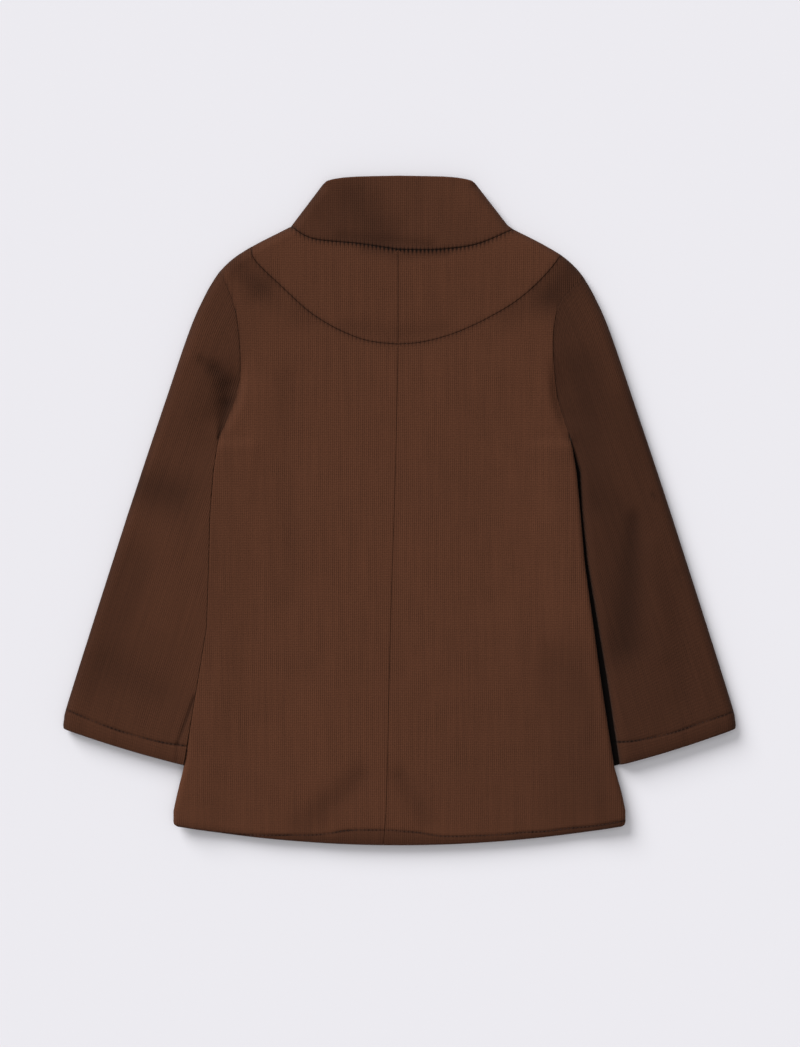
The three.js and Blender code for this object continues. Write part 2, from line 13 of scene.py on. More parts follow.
import bpy
import numpy as np
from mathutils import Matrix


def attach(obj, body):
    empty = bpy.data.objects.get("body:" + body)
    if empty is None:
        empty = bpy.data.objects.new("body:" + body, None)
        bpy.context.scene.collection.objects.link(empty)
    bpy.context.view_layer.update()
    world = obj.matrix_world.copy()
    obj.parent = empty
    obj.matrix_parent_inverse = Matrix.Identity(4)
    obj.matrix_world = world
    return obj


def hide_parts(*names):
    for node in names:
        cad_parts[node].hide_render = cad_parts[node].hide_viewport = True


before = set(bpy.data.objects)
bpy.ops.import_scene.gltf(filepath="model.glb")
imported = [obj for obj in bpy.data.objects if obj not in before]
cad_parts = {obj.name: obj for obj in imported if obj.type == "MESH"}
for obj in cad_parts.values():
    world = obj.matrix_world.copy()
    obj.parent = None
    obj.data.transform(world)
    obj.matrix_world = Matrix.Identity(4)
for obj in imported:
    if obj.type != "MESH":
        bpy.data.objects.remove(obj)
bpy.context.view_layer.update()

BODY = "root"
MM = 0.001

Array = np.ndarray
Number = Array | float
HeightAt = Callable[[Array], Array]
Colour = tuple[float, float, float]
Place = tuple[float, float]
Socket = bpy.types.NodeSocket

log = logging.getLogger("coat")


class Side(Enum):
    """Side of the coat as it is seen, with the sign of x there."""

    LEFT = -1
    RIGHT = 1

    @property
    def word(self) -> str:
        """Name used in the pieces' names."""
        return self.name.lower()


class Layer(Enum):
    """The cloth that faces up, or the cloth that lies on the table."""

    TOP = 1
    BOTTOM = -1


class SideSection(NamedTuple):
    """x of the two side folds at one y, and the gap there to the sleeve beside each, in millimetres."""

    y: float
    left: float
    right: float
    gap_left: float
    gap_right: float


@dataclass(frozen=True)
class Crease:
    """A soft trough or ridge between two places of one piece, in millimetres.

    Its section is a bell curve.

    Attributes:
        piece: name of the cloth piece.
        start: place where it begins.
        end: place where it ends.
        widths: half width at the start and at the end.
        depth: above 0 for a trough, below 0 for a ridge.
        shade: painted shade, how much darker the cloth's colour is made in its middle; below 0 it is
            painted light on a ridge.
        ribs: how much more clearly the ribs show there.
    """

    piece: str
    start: Place
    end: Place
    widths: Place
    depth: float
    shade: float = 0.0
    ribs: float = 0.0


# Cloth and making, in metres
CLOTH = 1.8 * MM
HEM_CLOTH = 2.6 * MM
COLLAR_CLOTH = 3.0 * MM
COLLAR_CUT = 62 * MM
SEAM_GAP = 0.3 * MM
SEAM_MIDDLE = 8 * MM
SEAM_FADE = 52 * MM
SEAM_EASE = 2 * MM
HEM_DEPTH = 15.5 * MM
HEM_STEP = 3 * MM

# Heights of the laid coat above the table
BODY_LOFT = 10 * MM
NECK_LOFT = 13 * MM
NECK_RISE = (120 * MM, 205 * MM)
SLEEVE_LOFT = 12 * MM
SIDE_LOFT = 12 * MM
SIDE_LIFT = 5 * MM
TUCKED_LOFT = 4.4 * MM
ARMHOLE_DIP = 4 * MM
DIP_END = (90 * MM, 125 * MM)
UNDERARM_DIP = 0.35
FULL_DIP_Y = 75 * MM
LEAST_HOLLOW = 0.4 * MM

# How the folded edges round over
FOLD_REACH = 8 * MM
REACH_PER_HEIGHT = 0.7
SIDE_SHELF = 14 * MM
SIDE_SLOPE = 32 * MM
SIDE_RISE = 40 * MM
EDGE_REACH = {Side.LEFT: 0.1 * MM, Side.RIGHT: 6.5 * MM}
CRISP_POWER = {Side.LEFT: 10, Side.RIGHT: 2.4}
CRISP_FROM = (-190 * MM, -150 * MM)
CRISP_UNTIL = (120 * MM, 80 * MM)
# How fast the painted shade of the gap fades above the underarm
PAINTED_GAP_END = 2.0
BODY_DIP_WIDTH = 4.5 * MM
SLEEVE_DIP_WIDTH = 18 * MM
SHOULDER_BLEND = 40 * MM
BELOW = 40 * MM
ON_LINE = 0.12 * MM
ROUNDED = 0.96
NOTHING_NEAR = 1.0

# Where the sleeve slips under the side fold
UNDERARM_Y = 56.4 * MM
PRESSED_Y = 49 * MM
TUCK_START_Y = 60 * MM
TUCKED_Y = 24 * MM
TUCK = 10 * MM

# Plan of the body and the sleeves
HEM_Y = -258.8 * MM
HEM_RADIUS = 1006 * MM
HEM_CORNER = 4 * MM
FRONT_OVERLAP = 28 * MM
STEP_CLEAR = 2 * MM
FRONT_STEP = 10 * MM
FRONT_NECK_Y = 184 * MM
NECK_Y = 220 * MM
NECK_WIDTH = 84 * MM
NECK_POWER = 1.8
FRONT_SCOOP = 7 * MM
CUFF_BOW = 1.5 * MM
CUFF_START = 0.8
ARMHOLE_REACH = 0.3
UNDERARM_REACH = 0.02
MIDDLE_OF_SLEEVE = 190 * MM
LEAST_FROM_FOLD = 0.6
LEAST_TUCKED = 0.02
EDGE_ROUNDS = 4
COLLAR_FRONT_TOP = 255.5 * MM
COLLAR_FRONT_POWER = 4

# Painted shade on a rim along the folded edges and on the band of a turned-up hem, and where its rows of
# stitches end
RIM_SHADE = 0.33
RIM_WIDTH = 3.8 * MM
STITCH_SINK = 0.5 * MM
LEAST_ABOVE_HEM = 1.5 * MM
STITCH_WIDTH = 1.4 * MM
BAND_DROP = 1.6 * MM
BAND_EDGE = 1.2 * MM
HEM_BAND_SHADE = 0.3
BAND_WIDTH = 7 * MM
HEM_ROW_FROM_CENTRE = 1.2 * MM
HEM_ROW_FROM_SIDE = 5 * MM
CUFF_ROW_FROM_SIDE = 12 * MM
CUFF_ROW_END = 253 * MM

# Outline from the neck over the shoulder and down to the cuff; columns x, y in millimetres
OUTER_FOLD = [
    (84, 220), (92.5, 215.7), (110.6, 206.5), (126.1, 197.2), (136.7, 187.9), (143.8, 178.6),
    (151.6, 164.7), (162.4, 140), (182.2, 82), (209.2, 0.9), (253.6, -138.3),
    (259.8, -161.5), (260.2, -168.6),
]
SIDE_SECTIONS = [
    SideSection(56.4, -139.8, 132.2, 0.08, 0.4),
    SideSection(50, -140.7, 133.4, 0.08, 0.6),
    SideSection(46, -141.3, 134.2, 0.08, 1.0),
    SideSection(30, -143.6, 136.9, 0.08, 3),
    SideSection(0, -146.1, 139.8, 0.08, 1.5),
    SideSection(-40, -147.3, 143.2, 0.08, 2.5),
    SideSection(-90, -149, 150.2, 0.08, 3.9),
    SideSection(-130, -155.5, 155.7, 0.08, 5.1),
    SideSection(-165, -161.4, 161, 0.08, 5),
    SideSection(-198, -166.8, 166.2, 0.08, 4.8),
    SideSection(-219, -172, 172.1, 0.08, 4),
    SideSection(-232, -174.8, 174.8, 0.08, 4),
    SideSection(-243.6, -174.8, 174.8, 0.08, 4),
]
SLEEVE_END_Y = -199.2 * MM

# Seams in plan, outwards from the centre and down from the shoulder; columns x, y in millimetres
CENTRE_BACK = [(-12.7, -258.8), (-10, -221), (-7, -92), (-3.5, 18), (-2, 77), (-1, 128.8)]
NECK_SEAM = {
    Side.LEFT: [(-1, 201.7), (-30, 206), (-67, 210), (-84, 220)],
    Side.RIGHT: [(-1, 201.7), (30, 201.6), (60, 205.8), (88.5, 217.7)],
}
YOKE_SEAM = {
    Side.LEFT: [
        (-1, 128.8), (-16, 130), (-28, 132.4), (-42, 137.6), (-56, 144.8), (-72, 155.7),
        (-92, 174.2), (-105, 186.4), (-112.6, 195.2), (-115, 203.9),
    ],
    Side.RIGHT: [
        (-1, 128.8), (15, 130), (29, 133), (43, 137.4), (55, 142.4), (69, 149.3), (88, 160.5), (104, 173.5),
        (117, 187.3), (124.8, 198),
    ],
}
ARMHOLE_SEAM = {
    Side.LEFT: [
        (-138.8, 185.6), (-131.5, 170), (-125.5, 148), (-123, 110), (-127, 88), (-133, 72), (-139.8, 56.4),
    ],
    Side.RIGHT: [
        (142.4, 180.6), (131.8, 170), (122.5, 157), (118.8, 130), (121.8, 92), (127, 72.7), (132.2, 56.4),
    ],
}
COLLAR_SIDE = {
    Side.LEFT: [(-84, 220), (-60.4, 251.2)],
    Side.RIGHT: [(88.5, 217.7), (83.8, 221), (60.4, 251.2)],
}
COLLAR_EDGE = [(0, 258.8), (34, 258.1), (48.8, 256.6), (56, 254.6), (60.4, 251.2)]

# Stitch lines of the turned-up edges as they show; columns x, y in millimetres
HEM_STITCHING = [
    (-176, -243.2), (-160, -246), (-135, -249.2), (-109.7, -250.8), (-84.5, -250.7), (-67.8, -250.7),
    (-53.7, -249.3), (-38.9, -247), (-10.8, -246.8), (1.7, -247.6), (16.6, -249), (27.6, -250.9),
    (38.7, -251.7), (57.2, -251.3), (79, -250.3), (95.8, -248.6), (112.5, -247.9), (129.3, -245.7),
    (146, -244.1), (162.7, -241.5), (176, -239),
]
CUFF_STITCHING = {
    Side.LEFT: [
        (-262, -151.8), (-256.2, -154), (-231.3, -164.4), (-207.2, -172.7), (-179.6, -179.5), (-150, -183),
    ],
    Side.RIGHT: [
        (150, -180.4), (168.8, -178.8), (182.6, -177.5), (196.4, -174.7), (210.2, -171.7), (220.5, -168.2),
        (230.9, -164.4), (244.7, -159.9), (262, -154),
    ],
}

# Each crease's shade is painted shade in the cloth's colour, standing in for the shade of its trough, and
# below 0 painted light on a ridge; those of depth 0 only paint shade, or light where their shade is below
# 0.
CREASES = [
    # The hollow where the left sleeve sinks beside the armhole seam
    Crease("sleeve_left", (-153, 116.5), (-142, 109), (3.5, 6), 0.9, 0.19, ribs=1.0),
    Crease("sleeve_left", (-142, 108), (-134, 98), (6, 8), 1.3, 0.22, ribs=1.6),
    Crease("sleeve_left", (-132.5, 95), (-132.5, 86), (8.5, 7), 1.9, 0.26, ribs=1.6),
    Crease("sleeve_left", (-134, 82), (-139.6, 56), (6.5, 1.3), 1.4, 0.43, ribs=0.6),
    Crease("sleeve_left", (-150, 136), (-165, 118), (12, 10), -0.8, -0.09, ribs=0.8),
    # The pull across the left elbow, and the soft waves below it
    Crease("sleeve_left", (-212, 22), (-176, 13), (14, 16), 1.0, 0.3),
    Crease("sleeve_left", (-208, -8), (-178, -22), (10, 14), -0.7, -0.03),
    Crease("sleeve_left", (-206, -40), (-238, -130), (16, 22), 0.6, 0.16),
    Crease("sleeve_left", (-178, -36), (-180, -84), (20, 18), -0.7, -0.12),
    Crease("sleeve_left", (-150, 4), (-160, -126), (11, 11), 0.0, -0.09),
    Crease("sleeve_left", (-225, -120), (-186, -140), (16, 12), 0.6, 0.14),
    Crease("sleeve_left", (-158.2, -144), (-171.3, -180), (1.6, 1.3), 0.8, 0.34),
    Crease("sleeve_left", (-171.3, -180), (-172.6, -198), (1.3, 1.2), 0.5, 0.2),
    # The long folds of the right sleeve
    Crease("sleeve_right", (143, 110), (150, 10), (16, 14), 0.8, 0.2),
    Crease("sleeve_right", (181, -6), (177, -103), (6, 13), 1.4, 0.31),
    Crease("sleeve_right", (168, 0), (168, -112), (16, 14), 0.6, 0.14),
    Crease("sleeve_right", (196, -26), (202, -110), (7, 9), -0.9, 0.02),
    Crease("sleeve_right", (215, -52), (220, -145), (9, 10), 0.9, 0.06),
    Crease("sleeve_right", (176, 84), (190, 36), (10, 12), 0.5, 0.06),
    Crease("sleeve_right", (195.6, 12.6), (197.6, 9.6), (1.6, 1.2), 0.5, 0.4),
    Crease("sleeve_right", (146, 160), (172, 100), (13, 12), -0.2, -0.16, ribs=0.8),
    # Soft waves of the back
    Crease("back_left", (-85, 100), (-84, -70), (11, 13), 0.9, 0.06),
    Crease("back_left", (-112, 88), (-112, -20), (12, 14), -0.5, -0.04),
    Crease("back_left", (-126, 60), (-132, -120), (9, 10), 0.4, 0.03),
    Crease("back_left", (-144, 30), (-150, -110), (10, 10), 0.0, 0.07),
    Crease("back_left", (-125, 92), (-137, 60), (5, 5), 0.0, 0.1),
    Crease("back_left", (-30, -206), (-72, -244), (9, 13), 1.2, 0.19),
    Crease("back_left", (-60, -150), (-50, -200), (16, 14), -0.5, -0.03),
    Crease("back_right", (1, -206), (22, -240), (7, 10), 1.1, 0.17),
    Crease("back_right", (40, -150), (44, -205), (15, 16), -0.5, -0.02),
    Crease("back_right", (60, 60), (66, -60), (20, 22), 0.4, 0.03),
    Crease("back_right", (128, 80), (134, -60), (12, 14), 0.0, 0.06),
    Crease("back_right", (70, -180), (100, -250), (60, 60), 0.3, 0.08),
    Crease("back_right", (132, -120), (154, -240), (28, 38), 0.5, 0.25),
    # The back bends down towards the shoulders beside the yoke
    Crease("back_left", (-125, 190), (-108, 173), (12, 12), 0.7, 0.3, ribs=0.8),
    Crease("back_left", (-104, 167), (-70, 146), (12, 9), 0.3, 0.12),
    Crease("back_right", (134, 190), (120, 166), (16, 14), 0.7, 0.46, ribs=0.6),
    Crease("back_right", (110, 164), (84, 150), (14, 10), 0.3, 0.16),
    # The neck
    Crease("collar", (-34, 240), (-12, 212), (17, 16), 2.0, 0.29),
    Crease("collar", (-64, 236), (-52, 218), (16, 16), 0.3, 0.17),
    Crease("collar", (-44, 211), (24, 205), (5, 4.5), 0.9, 0.18),
    Crease("collar", (46, 244), (66, 228), (16, 14), -0.5, -0.1),
    Crease("yoke_left", (-26, 201), (-1, 197), (5, 6), 0.5, 0.2),
    Crease("yoke_right", (-1, 197), (36, 198), (6, 4), 0.5, 0.18),
    Crease("yoke_left", (-40, 142), (-1, 135), (7, 8), 0.5, 0.12),
    Crease("yoke_right", (-1, 135), (34, 140), (8, 6), 0.5, 0.12),
]

# Rows and columns of the grids, finer on the cloth that faces up, and points along the plan's lines
BACK_GRID = (230, 112)
FRONT_GRID = (110, 60)
FRONT_STRIP = 16
YOKE_GRID = (64, 92)
SLEEVE_GRID = (200, 92)
SEEN_COLUMNS = 68
COLLAR_GRID = (44, 70)
COLLAR_DENSITY = 0.6
CUT_ROW = 20
END_DENSITY = 0.85
FOLD_DENSITY = 0.95
CURVE_STEPS = 24
OUTLINE_STEPS = 200
FOLD_STEPS = 120
HEM_STEPS = 60


def linked(name: str, data: bpy.types.ID) -> bpy.types.Object:
    """New object of a mesh, light or camera, in the scene."""
    made = bpy.data.objects.new(name, data)
    bpy.context.scene.collection.objects.link(made)
    return made


def millimetres(rows: list) -> Array:
    """Rows of a table in millimetres as an array in metres."""
    return np.asarray(rows, float) * MM


def smoothstep(x: Array, low: float, high: float) -> Array:
    """S-curve from 0 at low to 1 at high: three times the square of the share less twice its cube."""
    share = np.clip((x - low) / (high - low), 0, 1)
    return share * share * (3 - 2 * share)


def lerp(a: Number, b: Number, share: Number) -> Number:
    """Value a share of the way from a to b."""
    return a + (b - a) * share


def bell(distance: Number, width: Number) -> Number:
    """Bell curve: 1 in the middle, 1/e at the width."""
    return np.exp(-((distance / width) ** 2))


def dense_ends(count: int, density: float = END_DENSITY) -> Array:
    """Stations from 0 to 1 that are closer together at both ends: t less a share of sin(2 pi t) / 2 pi."""
    t = np.linspace(0, 1, count)
    return t - density * np.sin(2 * np.pi * t) / (2 * np.pi)


def curve(rows: list) -> Array:
    """Smooth curve through the rows of a table.

    Between two rows it is the cubic whose slope at each row is half the way between that row's neighbours.

    Args:
        rows: x, y in millimetres.

    Returns:
        Points along the curve in metres.
    """
    p = millimetres(rows)
    slope = (np.concatenate([p[1:], p[-1:]]) - np.concatenate([p[:1], p[:-1]])) / 2
    t = np.linspace(0, 1, CURVE_STEPS, endpoint=False)[None, :, None]
    a, b, from_a, into_b = p[:-1, None], p[1:, None], slope[:-1, None], slope[1:, None]
    cubed = 2 * a - 2 * b + from_a + into_b
    squared = 3 * b - 3 * a - 2 * from_a - into_b
    points = cubed * t**3 + squared * t**2 + from_a * t + a
    return np.concatenate([points.reshape(-1, 2), p[-1:]])


def run_of(line: Array) -> Array:
    """Running length of a line at each of its points."""
    return np.concatenate([[0], np.cumsum(np.linalg.norm(np.diff(line, axis=0), axis=1))])


def along(line: Array, shares: Array) -> Array:
    """Points at the given shares of a line's length."""
    run = run_of(line)
    return np.stack([np.interp(shares * run[-1], run, line[:, axis]) for axis in (0, 1)], axis=-1)


class Near(NamedTuple):
    """Distance to a line, and the direction away from it into the piece."""

    distance: Array
    inward: Array


def nearest(lines: list[Array], points: Array, inside: Array) -> Near:
    """Distance of each point to the nearest of some lines.

    Args:
        lines: each an array of points.
        points: any array of points, x and y last.
        inside: a place inside the piece for each point, which settles the direction of a point on the line.

    Returns:
        The distance and the unit direction away from the line.
    """
    best = np.full(points.shape[:-1], np.inf)
    away = np.zeros(points.shape)
    normal = np.zeros(points.shape)
    for line in lines:
        for start, end in zip(line[:-1], line[1:]):
            step = end - start
            share = np.clip(((points - start) @ step) / max(step @ step, 1e-18), 0, 1)
            offset = points - (start + share[..., None] * step)
            distance = np.linalg.norm(offset, axis=-1)
            closer = distance < best
            best = np.where(closer, distance, best)
            away = np.where(closer[..., None], offset, away)
            square = np.array([-step[1], step[0]]) / max(np.linalg.norm(step), 1e-9)
            normal = np.where(closer[..., None], square, normal)
    toward = np.sum(normal * (inside - (points - away)), axis=-1, keepdims=True)
    normal = np.where(toward < 0, -normal, normal)
    on_line = best < ON_LINE
    return Near(best, np.where(on_line[..., None], normal, away / np.maximum(best, 1e-9)[..., None]))


def distance_to(line: Array, points: Array) -> Array:
    """Distance of each point to a line."""
    return nearest([line], points, points).distance


def blended(low: Array, high: Array, near: Array, far: Array, u: Array, v: Array) -> Array:
    """Plan of a panel between four edges.

    Each point is the blend of the two edges across, and of the two along, less the blend of the corners.

    Args:
        low: the hem side, from the centre out.
        high: the top side, from the centre out.
        near: the centre side, upwards.
        far: the outer side, upwards.
        u: stations across.
        v: stations along.

    Returns:
        Rows of points.
    """
    far[0], far[-1], near[0], near[-1] = low[-1], high[-1], low[0], high[0]
    across, up = u[None, :, None], v[:, None, None]
    corners = (
        low[0] * (1 - across) * (1 - up) + low[-1] * across * (1 - up)
        + high[0] * (1 - across) * up + high[-1] * across * up
    )
    lengthwise = low[None] * (1 - up) + high[None] * up
    crosswise = near[:, None] * (1 - across) + far[:, None] * across
    return lengthwise + crosswise - corners


@dataclass
class Seam:
    """A sewn or turned edge of a piece.

    Attributes:
        line: its points in plan.
        roll: share of the wall's half thickness by which the cloth rounds down at it.
        dark: how dark its groove is.
        pull: how strongly its stitches pinch the ribs.
        fade: share of the groove that is lost away from the seam's middle.
        is_sewn: whether the edge is drawn back by half the seam gap.
    """

    line: Array
    roll: float = 1.0
    dark: float = 0.0
    pull: float = 0.0
    fade: float = 0.0
    is_sewn: bool = True

    def share_at(self, points: Array) -> Array:
        """Share of the groove and the pull that is left at each point: a bell curve around its middle."""
        return 1 - self.fade * (1 - bell(points[..., 0] - SEAM_MIDDLE, SEAM_FADE))


SHELL_NUMBERS = ("tone", "ribs", "edge", "seam", "groove", "pull", "stitch")
SHELL_GRIDS = ("outer", "inner", "weave", *SHELL_NUMBERS)


@dataclass
class Shell:
    """Cloth wall as two grids of points, with what its material reads at each of them.

    Attributes:
        outer: rows of points on the visible face.
        inner: rows of points on the hidden face.
        weave: place across and along the ribs, in metres.
        tone: brightness of the cloth, 1 where it is plain; it carries painted shade, below 1, and painted
            light, above 1.
        ribs: how clearly the ribs show, 1 on the plain back.
        edge: signed distance past the edge where the cloth starts to show, the mask of the painted shade in
            the gap beside the side fold.
        seam: distance to the nearest seam.
        groove: how dark that seam is.
        pull: how strongly it pinches the ribs.
        stitch: signed distance to the stitch line.
        is_tube: whether the last column joins the first.
    """

    outer: Array
    inner: Array
    weave: Array
    tone: Array
    ribs: Array
    edge: Array
    seam: Array
    groove: Array
    pull: Array
    stitch: Array
    is_tube: bool = False

    def faces(self) -> Array:
        """Four-sided faces of both grids and of the rims that join them, as rows of vertex numbers."""
        rows, columns = self.tone.shape
        number = np.arange(rows * columns).reshape(rows, columns)
        if self.is_tube:
            number = np.concatenate([number, number[:, :1]], axis=1)
        under = number + rows * columns

        def quads(grid: Array) -> Array:
            """Faces between the neighbours of one grid."""
            return np.stack([grid[:-1, :-1], grid[:-1, 1:], grid[1:, 1:], grid[1:, :-1]], -1).reshape(-1, 4)

        def rim(a: Array, b: Array) -> Array:
            """Faces between an edge of one grid and the same edge of the other."""
            return np.stack([a[:-1], b[:-1], b[1:], a[1:]], -1)

        parts = [quads(number), quads(under)[:, ::-1], rim(number[0], under[0]), rim(under[-1], number[-1])]
        if not self.is_tube:
            parts += [rim(under[:, 0], number[:, 0]), rim(number[:, -1], under[:, -1])]
        return np.concatenate(parts)

    def make(self, name: str) -> bpy.types.Object:
        """Puts the wall into a mesh whose faces point outwards, with its UV map and attributes.

        Args:
            name: the new object's name.

        Returns:
            The object, at the origin.
        """
        vertices = np.concatenate([self.outer.reshape(-1, 3), self.inner.reshape(-1, 3)])
        faces = self.faces()
        a, b, c, d = (vertices[faces[:, corner]] for corner in range(4))
        volume = np.sum(a * np.cross(b, c) + a * np.cross(c, d))
        if volume < 0:
            faces = faces[:, ::-1]
        mesh = bpy.data.meshes.new(name)
        mesh.vertices.add(len(vertices))
        mesh.vertices.foreach_set("co", vertices.ravel())
        mesh.loops.add(faces.size)
        mesh.loops.foreach_set("vertex_index", faces.ravel())
        mesh.polygons.add(len(faces))
        mesh.polygons.foreach_set("loop_start", np.arange(0, faces.size, 4))
        mesh.update(calc_edges=True)
        mesh.polygons.foreach_set("use_smooth", np.ones(len(faces), bool))
        weave = np.tile(self.weave.reshape(-1, 2), (2, 1))
        mesh.uv_layers.new(name="weave").data.foreach_set("uv", weave[faces.ravel()].ravel())
        for key in SHELL_NUMBERS:
            values = np.tile(getattr(self, key).ravel(), 2).astype(np.float32)
            mesh.attributes.new(key, "FLOAT", "POINT").data.foreach_set("value", values)
        return linked(name, mesh)


def section_at(y: Array, column: str) -> Array:
    """One column of the side sections at y, in metres."""
    rows = sorted(SIDE_SECTIONS)
    return np.interp(y, [row.y * MM for row in rows], [getattr(row, column) * MM for row in rows])


def hem_at(x: Array) -> Array:
    """Hem line: an arc that rises from the centre to the sides, with a quarter circle at each corner."""
    past = np.clip(np.abs(x) - SIDE_SECTIONS[-1].right * MM + HEM_CORNER, 0, HEM_CORNER)
    arc = HEM_RADIUS - np.sqrt(HEM_RADIUS**2 - x**2)
    return HEM_Y + arc + HEM_CORNER - np.sqrt(HEM_CORNER**2 - past**2)


def hem_line() -> Array:
    """Points of the hem from side to side."""
    x = np.linspace(-1, 1, HEM_STEPS) * SIDE_SECTIONS[-1].right * MM
    return np.stack([x, hem_at(x)], axis=-1)


def front_neck_at(x: Array) -> Array:
    """Front neckline: level where the fronts pass each other, then up to the neck by a power curve."""
    level = FRONT_OVERLAP + STEP_CLEAR
    share = np.maximum(0, np.abs(x) - level) / (NECK_WIDTH - level)
    return FRONT_NECK_Y + (NECK_Y - FRONT_NECK_Y) * share**NECK_POWER


def hemmed_at(distance: Array) -> Array:
    """Thickness of the cloth at a distance from a turned-up hem."""
    return lerp(HEM_CLOTH, CLOTH, smoothstep(distance, HEM_DEPTH - HEM_STEP, HEM_DEPTH))


def loft_at(y: Array) -> Array:
    """Height of the back: low on the body, higher towards the neck."""
    return lerp(BODY_LOFT, NECK_LOFT, smoothstep(y, *NECK_RISE))


def pressed_at(y: Array) -> Array:
    """How far the sleeve's margin is pressed flat, from 0 at the underarm to 1."""
    return 1 - smoothstep(y, PRESSED_Y, UNDERARM_Y)


def armhole_dip_at(y: Array) -> Array:
    """Depth of the sunk armhole seam: full in the middle, less at the underarm, none at the shoulder."""
    from_underarm = lerp(UNDERARM_DIP, 1, smoothstep(y, UNDERARM_Y, FULL_DIP_Y))
    return ARMHOLE_DIP * (1 - smoothstep(y, *DIP_END)) * from_underarm


def creases_at(piece: str, points: Array) -> tuple[Array, Array, Array]:
    """Depth of a piece's creases, their painted shade and light, and how clearly the ribs show in them.

    Args:
        piece: name of the cloth piece.
        points: places in plan.

    Returns:
        The sum of the creases' depths, the product of their painted tones, and 1 and the sum of their ribs.
    """
    depth = np.zeros(points.shape[:-1])
    tone = np.ones(points.shape[:-1])
    ribs = np.ones(points.shape[:-1])
    for crease in CREASES:
        if crease.piece != piece:
            continue
        start, end = millimetres([crease.start, crease.end])
        step = end - start
        share = np.clip(((points - start) @ step) / (step @ step), 0, 1)
        distance = np.linalg.norm(points - start - share[..., None] * step, axis=-1)
        trough = bell(distance, lerp(crease.widths[0], crease.widths[1], share) * MM)
        depth += crease.depth * MM * trough
        # The tone is painted shade where the crease's shade is above 0 and painted light where it is below
        # 0.
        tone *= 1 - crease.shade * trough
        ribs += crease.ribs * trough
    return depth, tone, ribs


@dataclass
class Cloth:
    """A piece of cloth over its plan: the space it lies in, its folded edges and its seams.

    Attributes:
        name: of the piece.
        plan: rows of points.
        top: height of the space's upper side at each point.
        bottom: height of its lower side.
        layer: which of the two sides the cloth makes.
        fold: distance to the folded edge and the direction into the piece.
        wall: thickness of the cloth.
        seams: its sewn and turned edges.
        outline: distance to the folded outline of the coat, where a rim of painted shade lies.
        gap: space between the two layers at a folded edge.
        band: painted shade, how much darker the cloth is past its stitch line, where the turned hem rounds
            down.
        ribs: how clearly its ribs show.
        power: how square its folds are, 2 for a quarter ellipse.
    """

    name: str
    plan: Array
    top: Array
    bottom: Array
    layer: Layer
    fold: Near
    wall: Array
    seams: list[Seam]
    outline: Array
    gap: float = 0.0
    band: float = 0.0
    ribs: float = 1.0
    power: Number = 2.0

    def shell(self, weave: Array, tone: float, stitch: Array | None = None,
              edge: Array | None = None) -> Shell:
        """Wall of the cloth.

        Away from a fold the faces are level. Within its reach the section is a quarter of an ellipse, or of
        the squarer curve of a higher power, that ends upright on the fold, halfway between the top and the
        bottom. At each seam both faces round towards the middle of the wall by a quarter circle.

        Args:
            weave: place across and along the ribs.
            tone: brightness of the plain cloth; on the sleeves, the collar and the fronts it is lowered as
                painted shade.
            stitch: signed distance to the stitch line.
            edge: signed distance past the edge where the cloth starts to show, the mask of the painted
                shade in the gap.

        Returns:
            The shell.
        """
        up = self.layer.value
        far = np.full(self.plan.shape[:-1], NOTHING_NEAR)
        # Painted shade: a darker rim along the folded outline, and the band past the hem's stitch line.
        rim = 1 - RIM_SHADE * bell(self.outline, RIM_WIDTH)
        band = 1 - self.band * smoothstep(far if stitch is None else stitch, BAND_EDGE, -BAND_EDGE)
        reach = np.minimum(FOLD_REACH, REACH_PER_HEIGHT * (self.top - self.bottom))
        lean = np.maximum(0, 1 - self.fold.distance / reach)
        rise = (1 - lean**self.power) ** (1 / self.power)
        half = (self.top - self.bottom) / 2 - self.gap / 2
        wall = np.minimum(self.wall, half - LEAST_HOLLOW)
        start = (self.top + self.bottom) / 2 + up * self.gap / 2
        inside = self.plan + self.fold.inward * (wall * lean)[..., None]
        seam, groove, pull, roll = self.near_seams(wall)
        outer_z = start + up * (half * rise - roll)
        inner_z = start + up * ((half - wall) * rise + roll * rise)
        _, shade, ribs = creases_at(self.name, self.plan)
        return Shell(
            outer=np.concatenate([self.plan, outer_z[..., None]], axis=-1),
            inner=np.concatenate([inside, inner_z[..., None]], axis=-1),
            weave=weave, tone=tone * shade * rim * band, ribs=self.ribs * ribs,
            edge=far if edge is None else edge, seam=seam, groove=groove, pull=pull,
            stitch=far if stitch is None else stitch,
        )

    def near_seams(self, wall: Array) -> tuple[Array, Array, Array, Array]:
        """Distance to the nearest seam, its darkness and pull, and how far the faces round in at it.

        Args:
            wall: thickness of the cloth at each point.

        Returns:
            The four numbers at each point.
        """
        shape = self.plan.shape[:-1]
        nearest_yet = np.full(shape, NOTHING_NEAR)
        groove, pull, roll = np.zeros((3, *shape))
        for seam in self.seams:
            distance = distance_to(seam.line, self.plan) - (SEAM_GAP / 2 if seam.is_sewn else 0)
            distance = np.maximum(distance, 0)
            closer = distance < nearest_yet
            nearest_yet = np.where(closer, distance, nearest_yet)
            share = seam.share_at(self.plan)
            groove = np.where(closer, seam.dark * share, groove)
            pull = np.where(closer, seam.pull * share, pull)
            radius = np.maximum(wall / 2, 1e-6)
            turn = np.maximum(0, 1 - distance / radius)
            roll = np.maximum(roll, seam.roll * ROUNDED * radius * (1 - np.sqrt(1 - turn**2)))
        return nearest_yet, groove, pull, roll


def drawn_back(plan: Array, seams: list[Seam]) -> Array:
    """Moves the points near each sewn seam away from it, by half the seam gap at the seam itself.

    The shift fades out with the distance as an exponential.

    Args:
        plan: rows of points.
        seams: the piece's edges.

    Returns:
        The moved rows of points.
    """
    middle = plan[len(plan) // 2, plan.shape[1] // 2]
    for seam in seams:
        if seam.is_sewn:
            near = nearest([seam.line], plan, middle)
            plan = plan + near.inward * (SEAM_GAP / 2 * np.exp(-near.distance / SEAM_EASE))[..., None]
    return plan


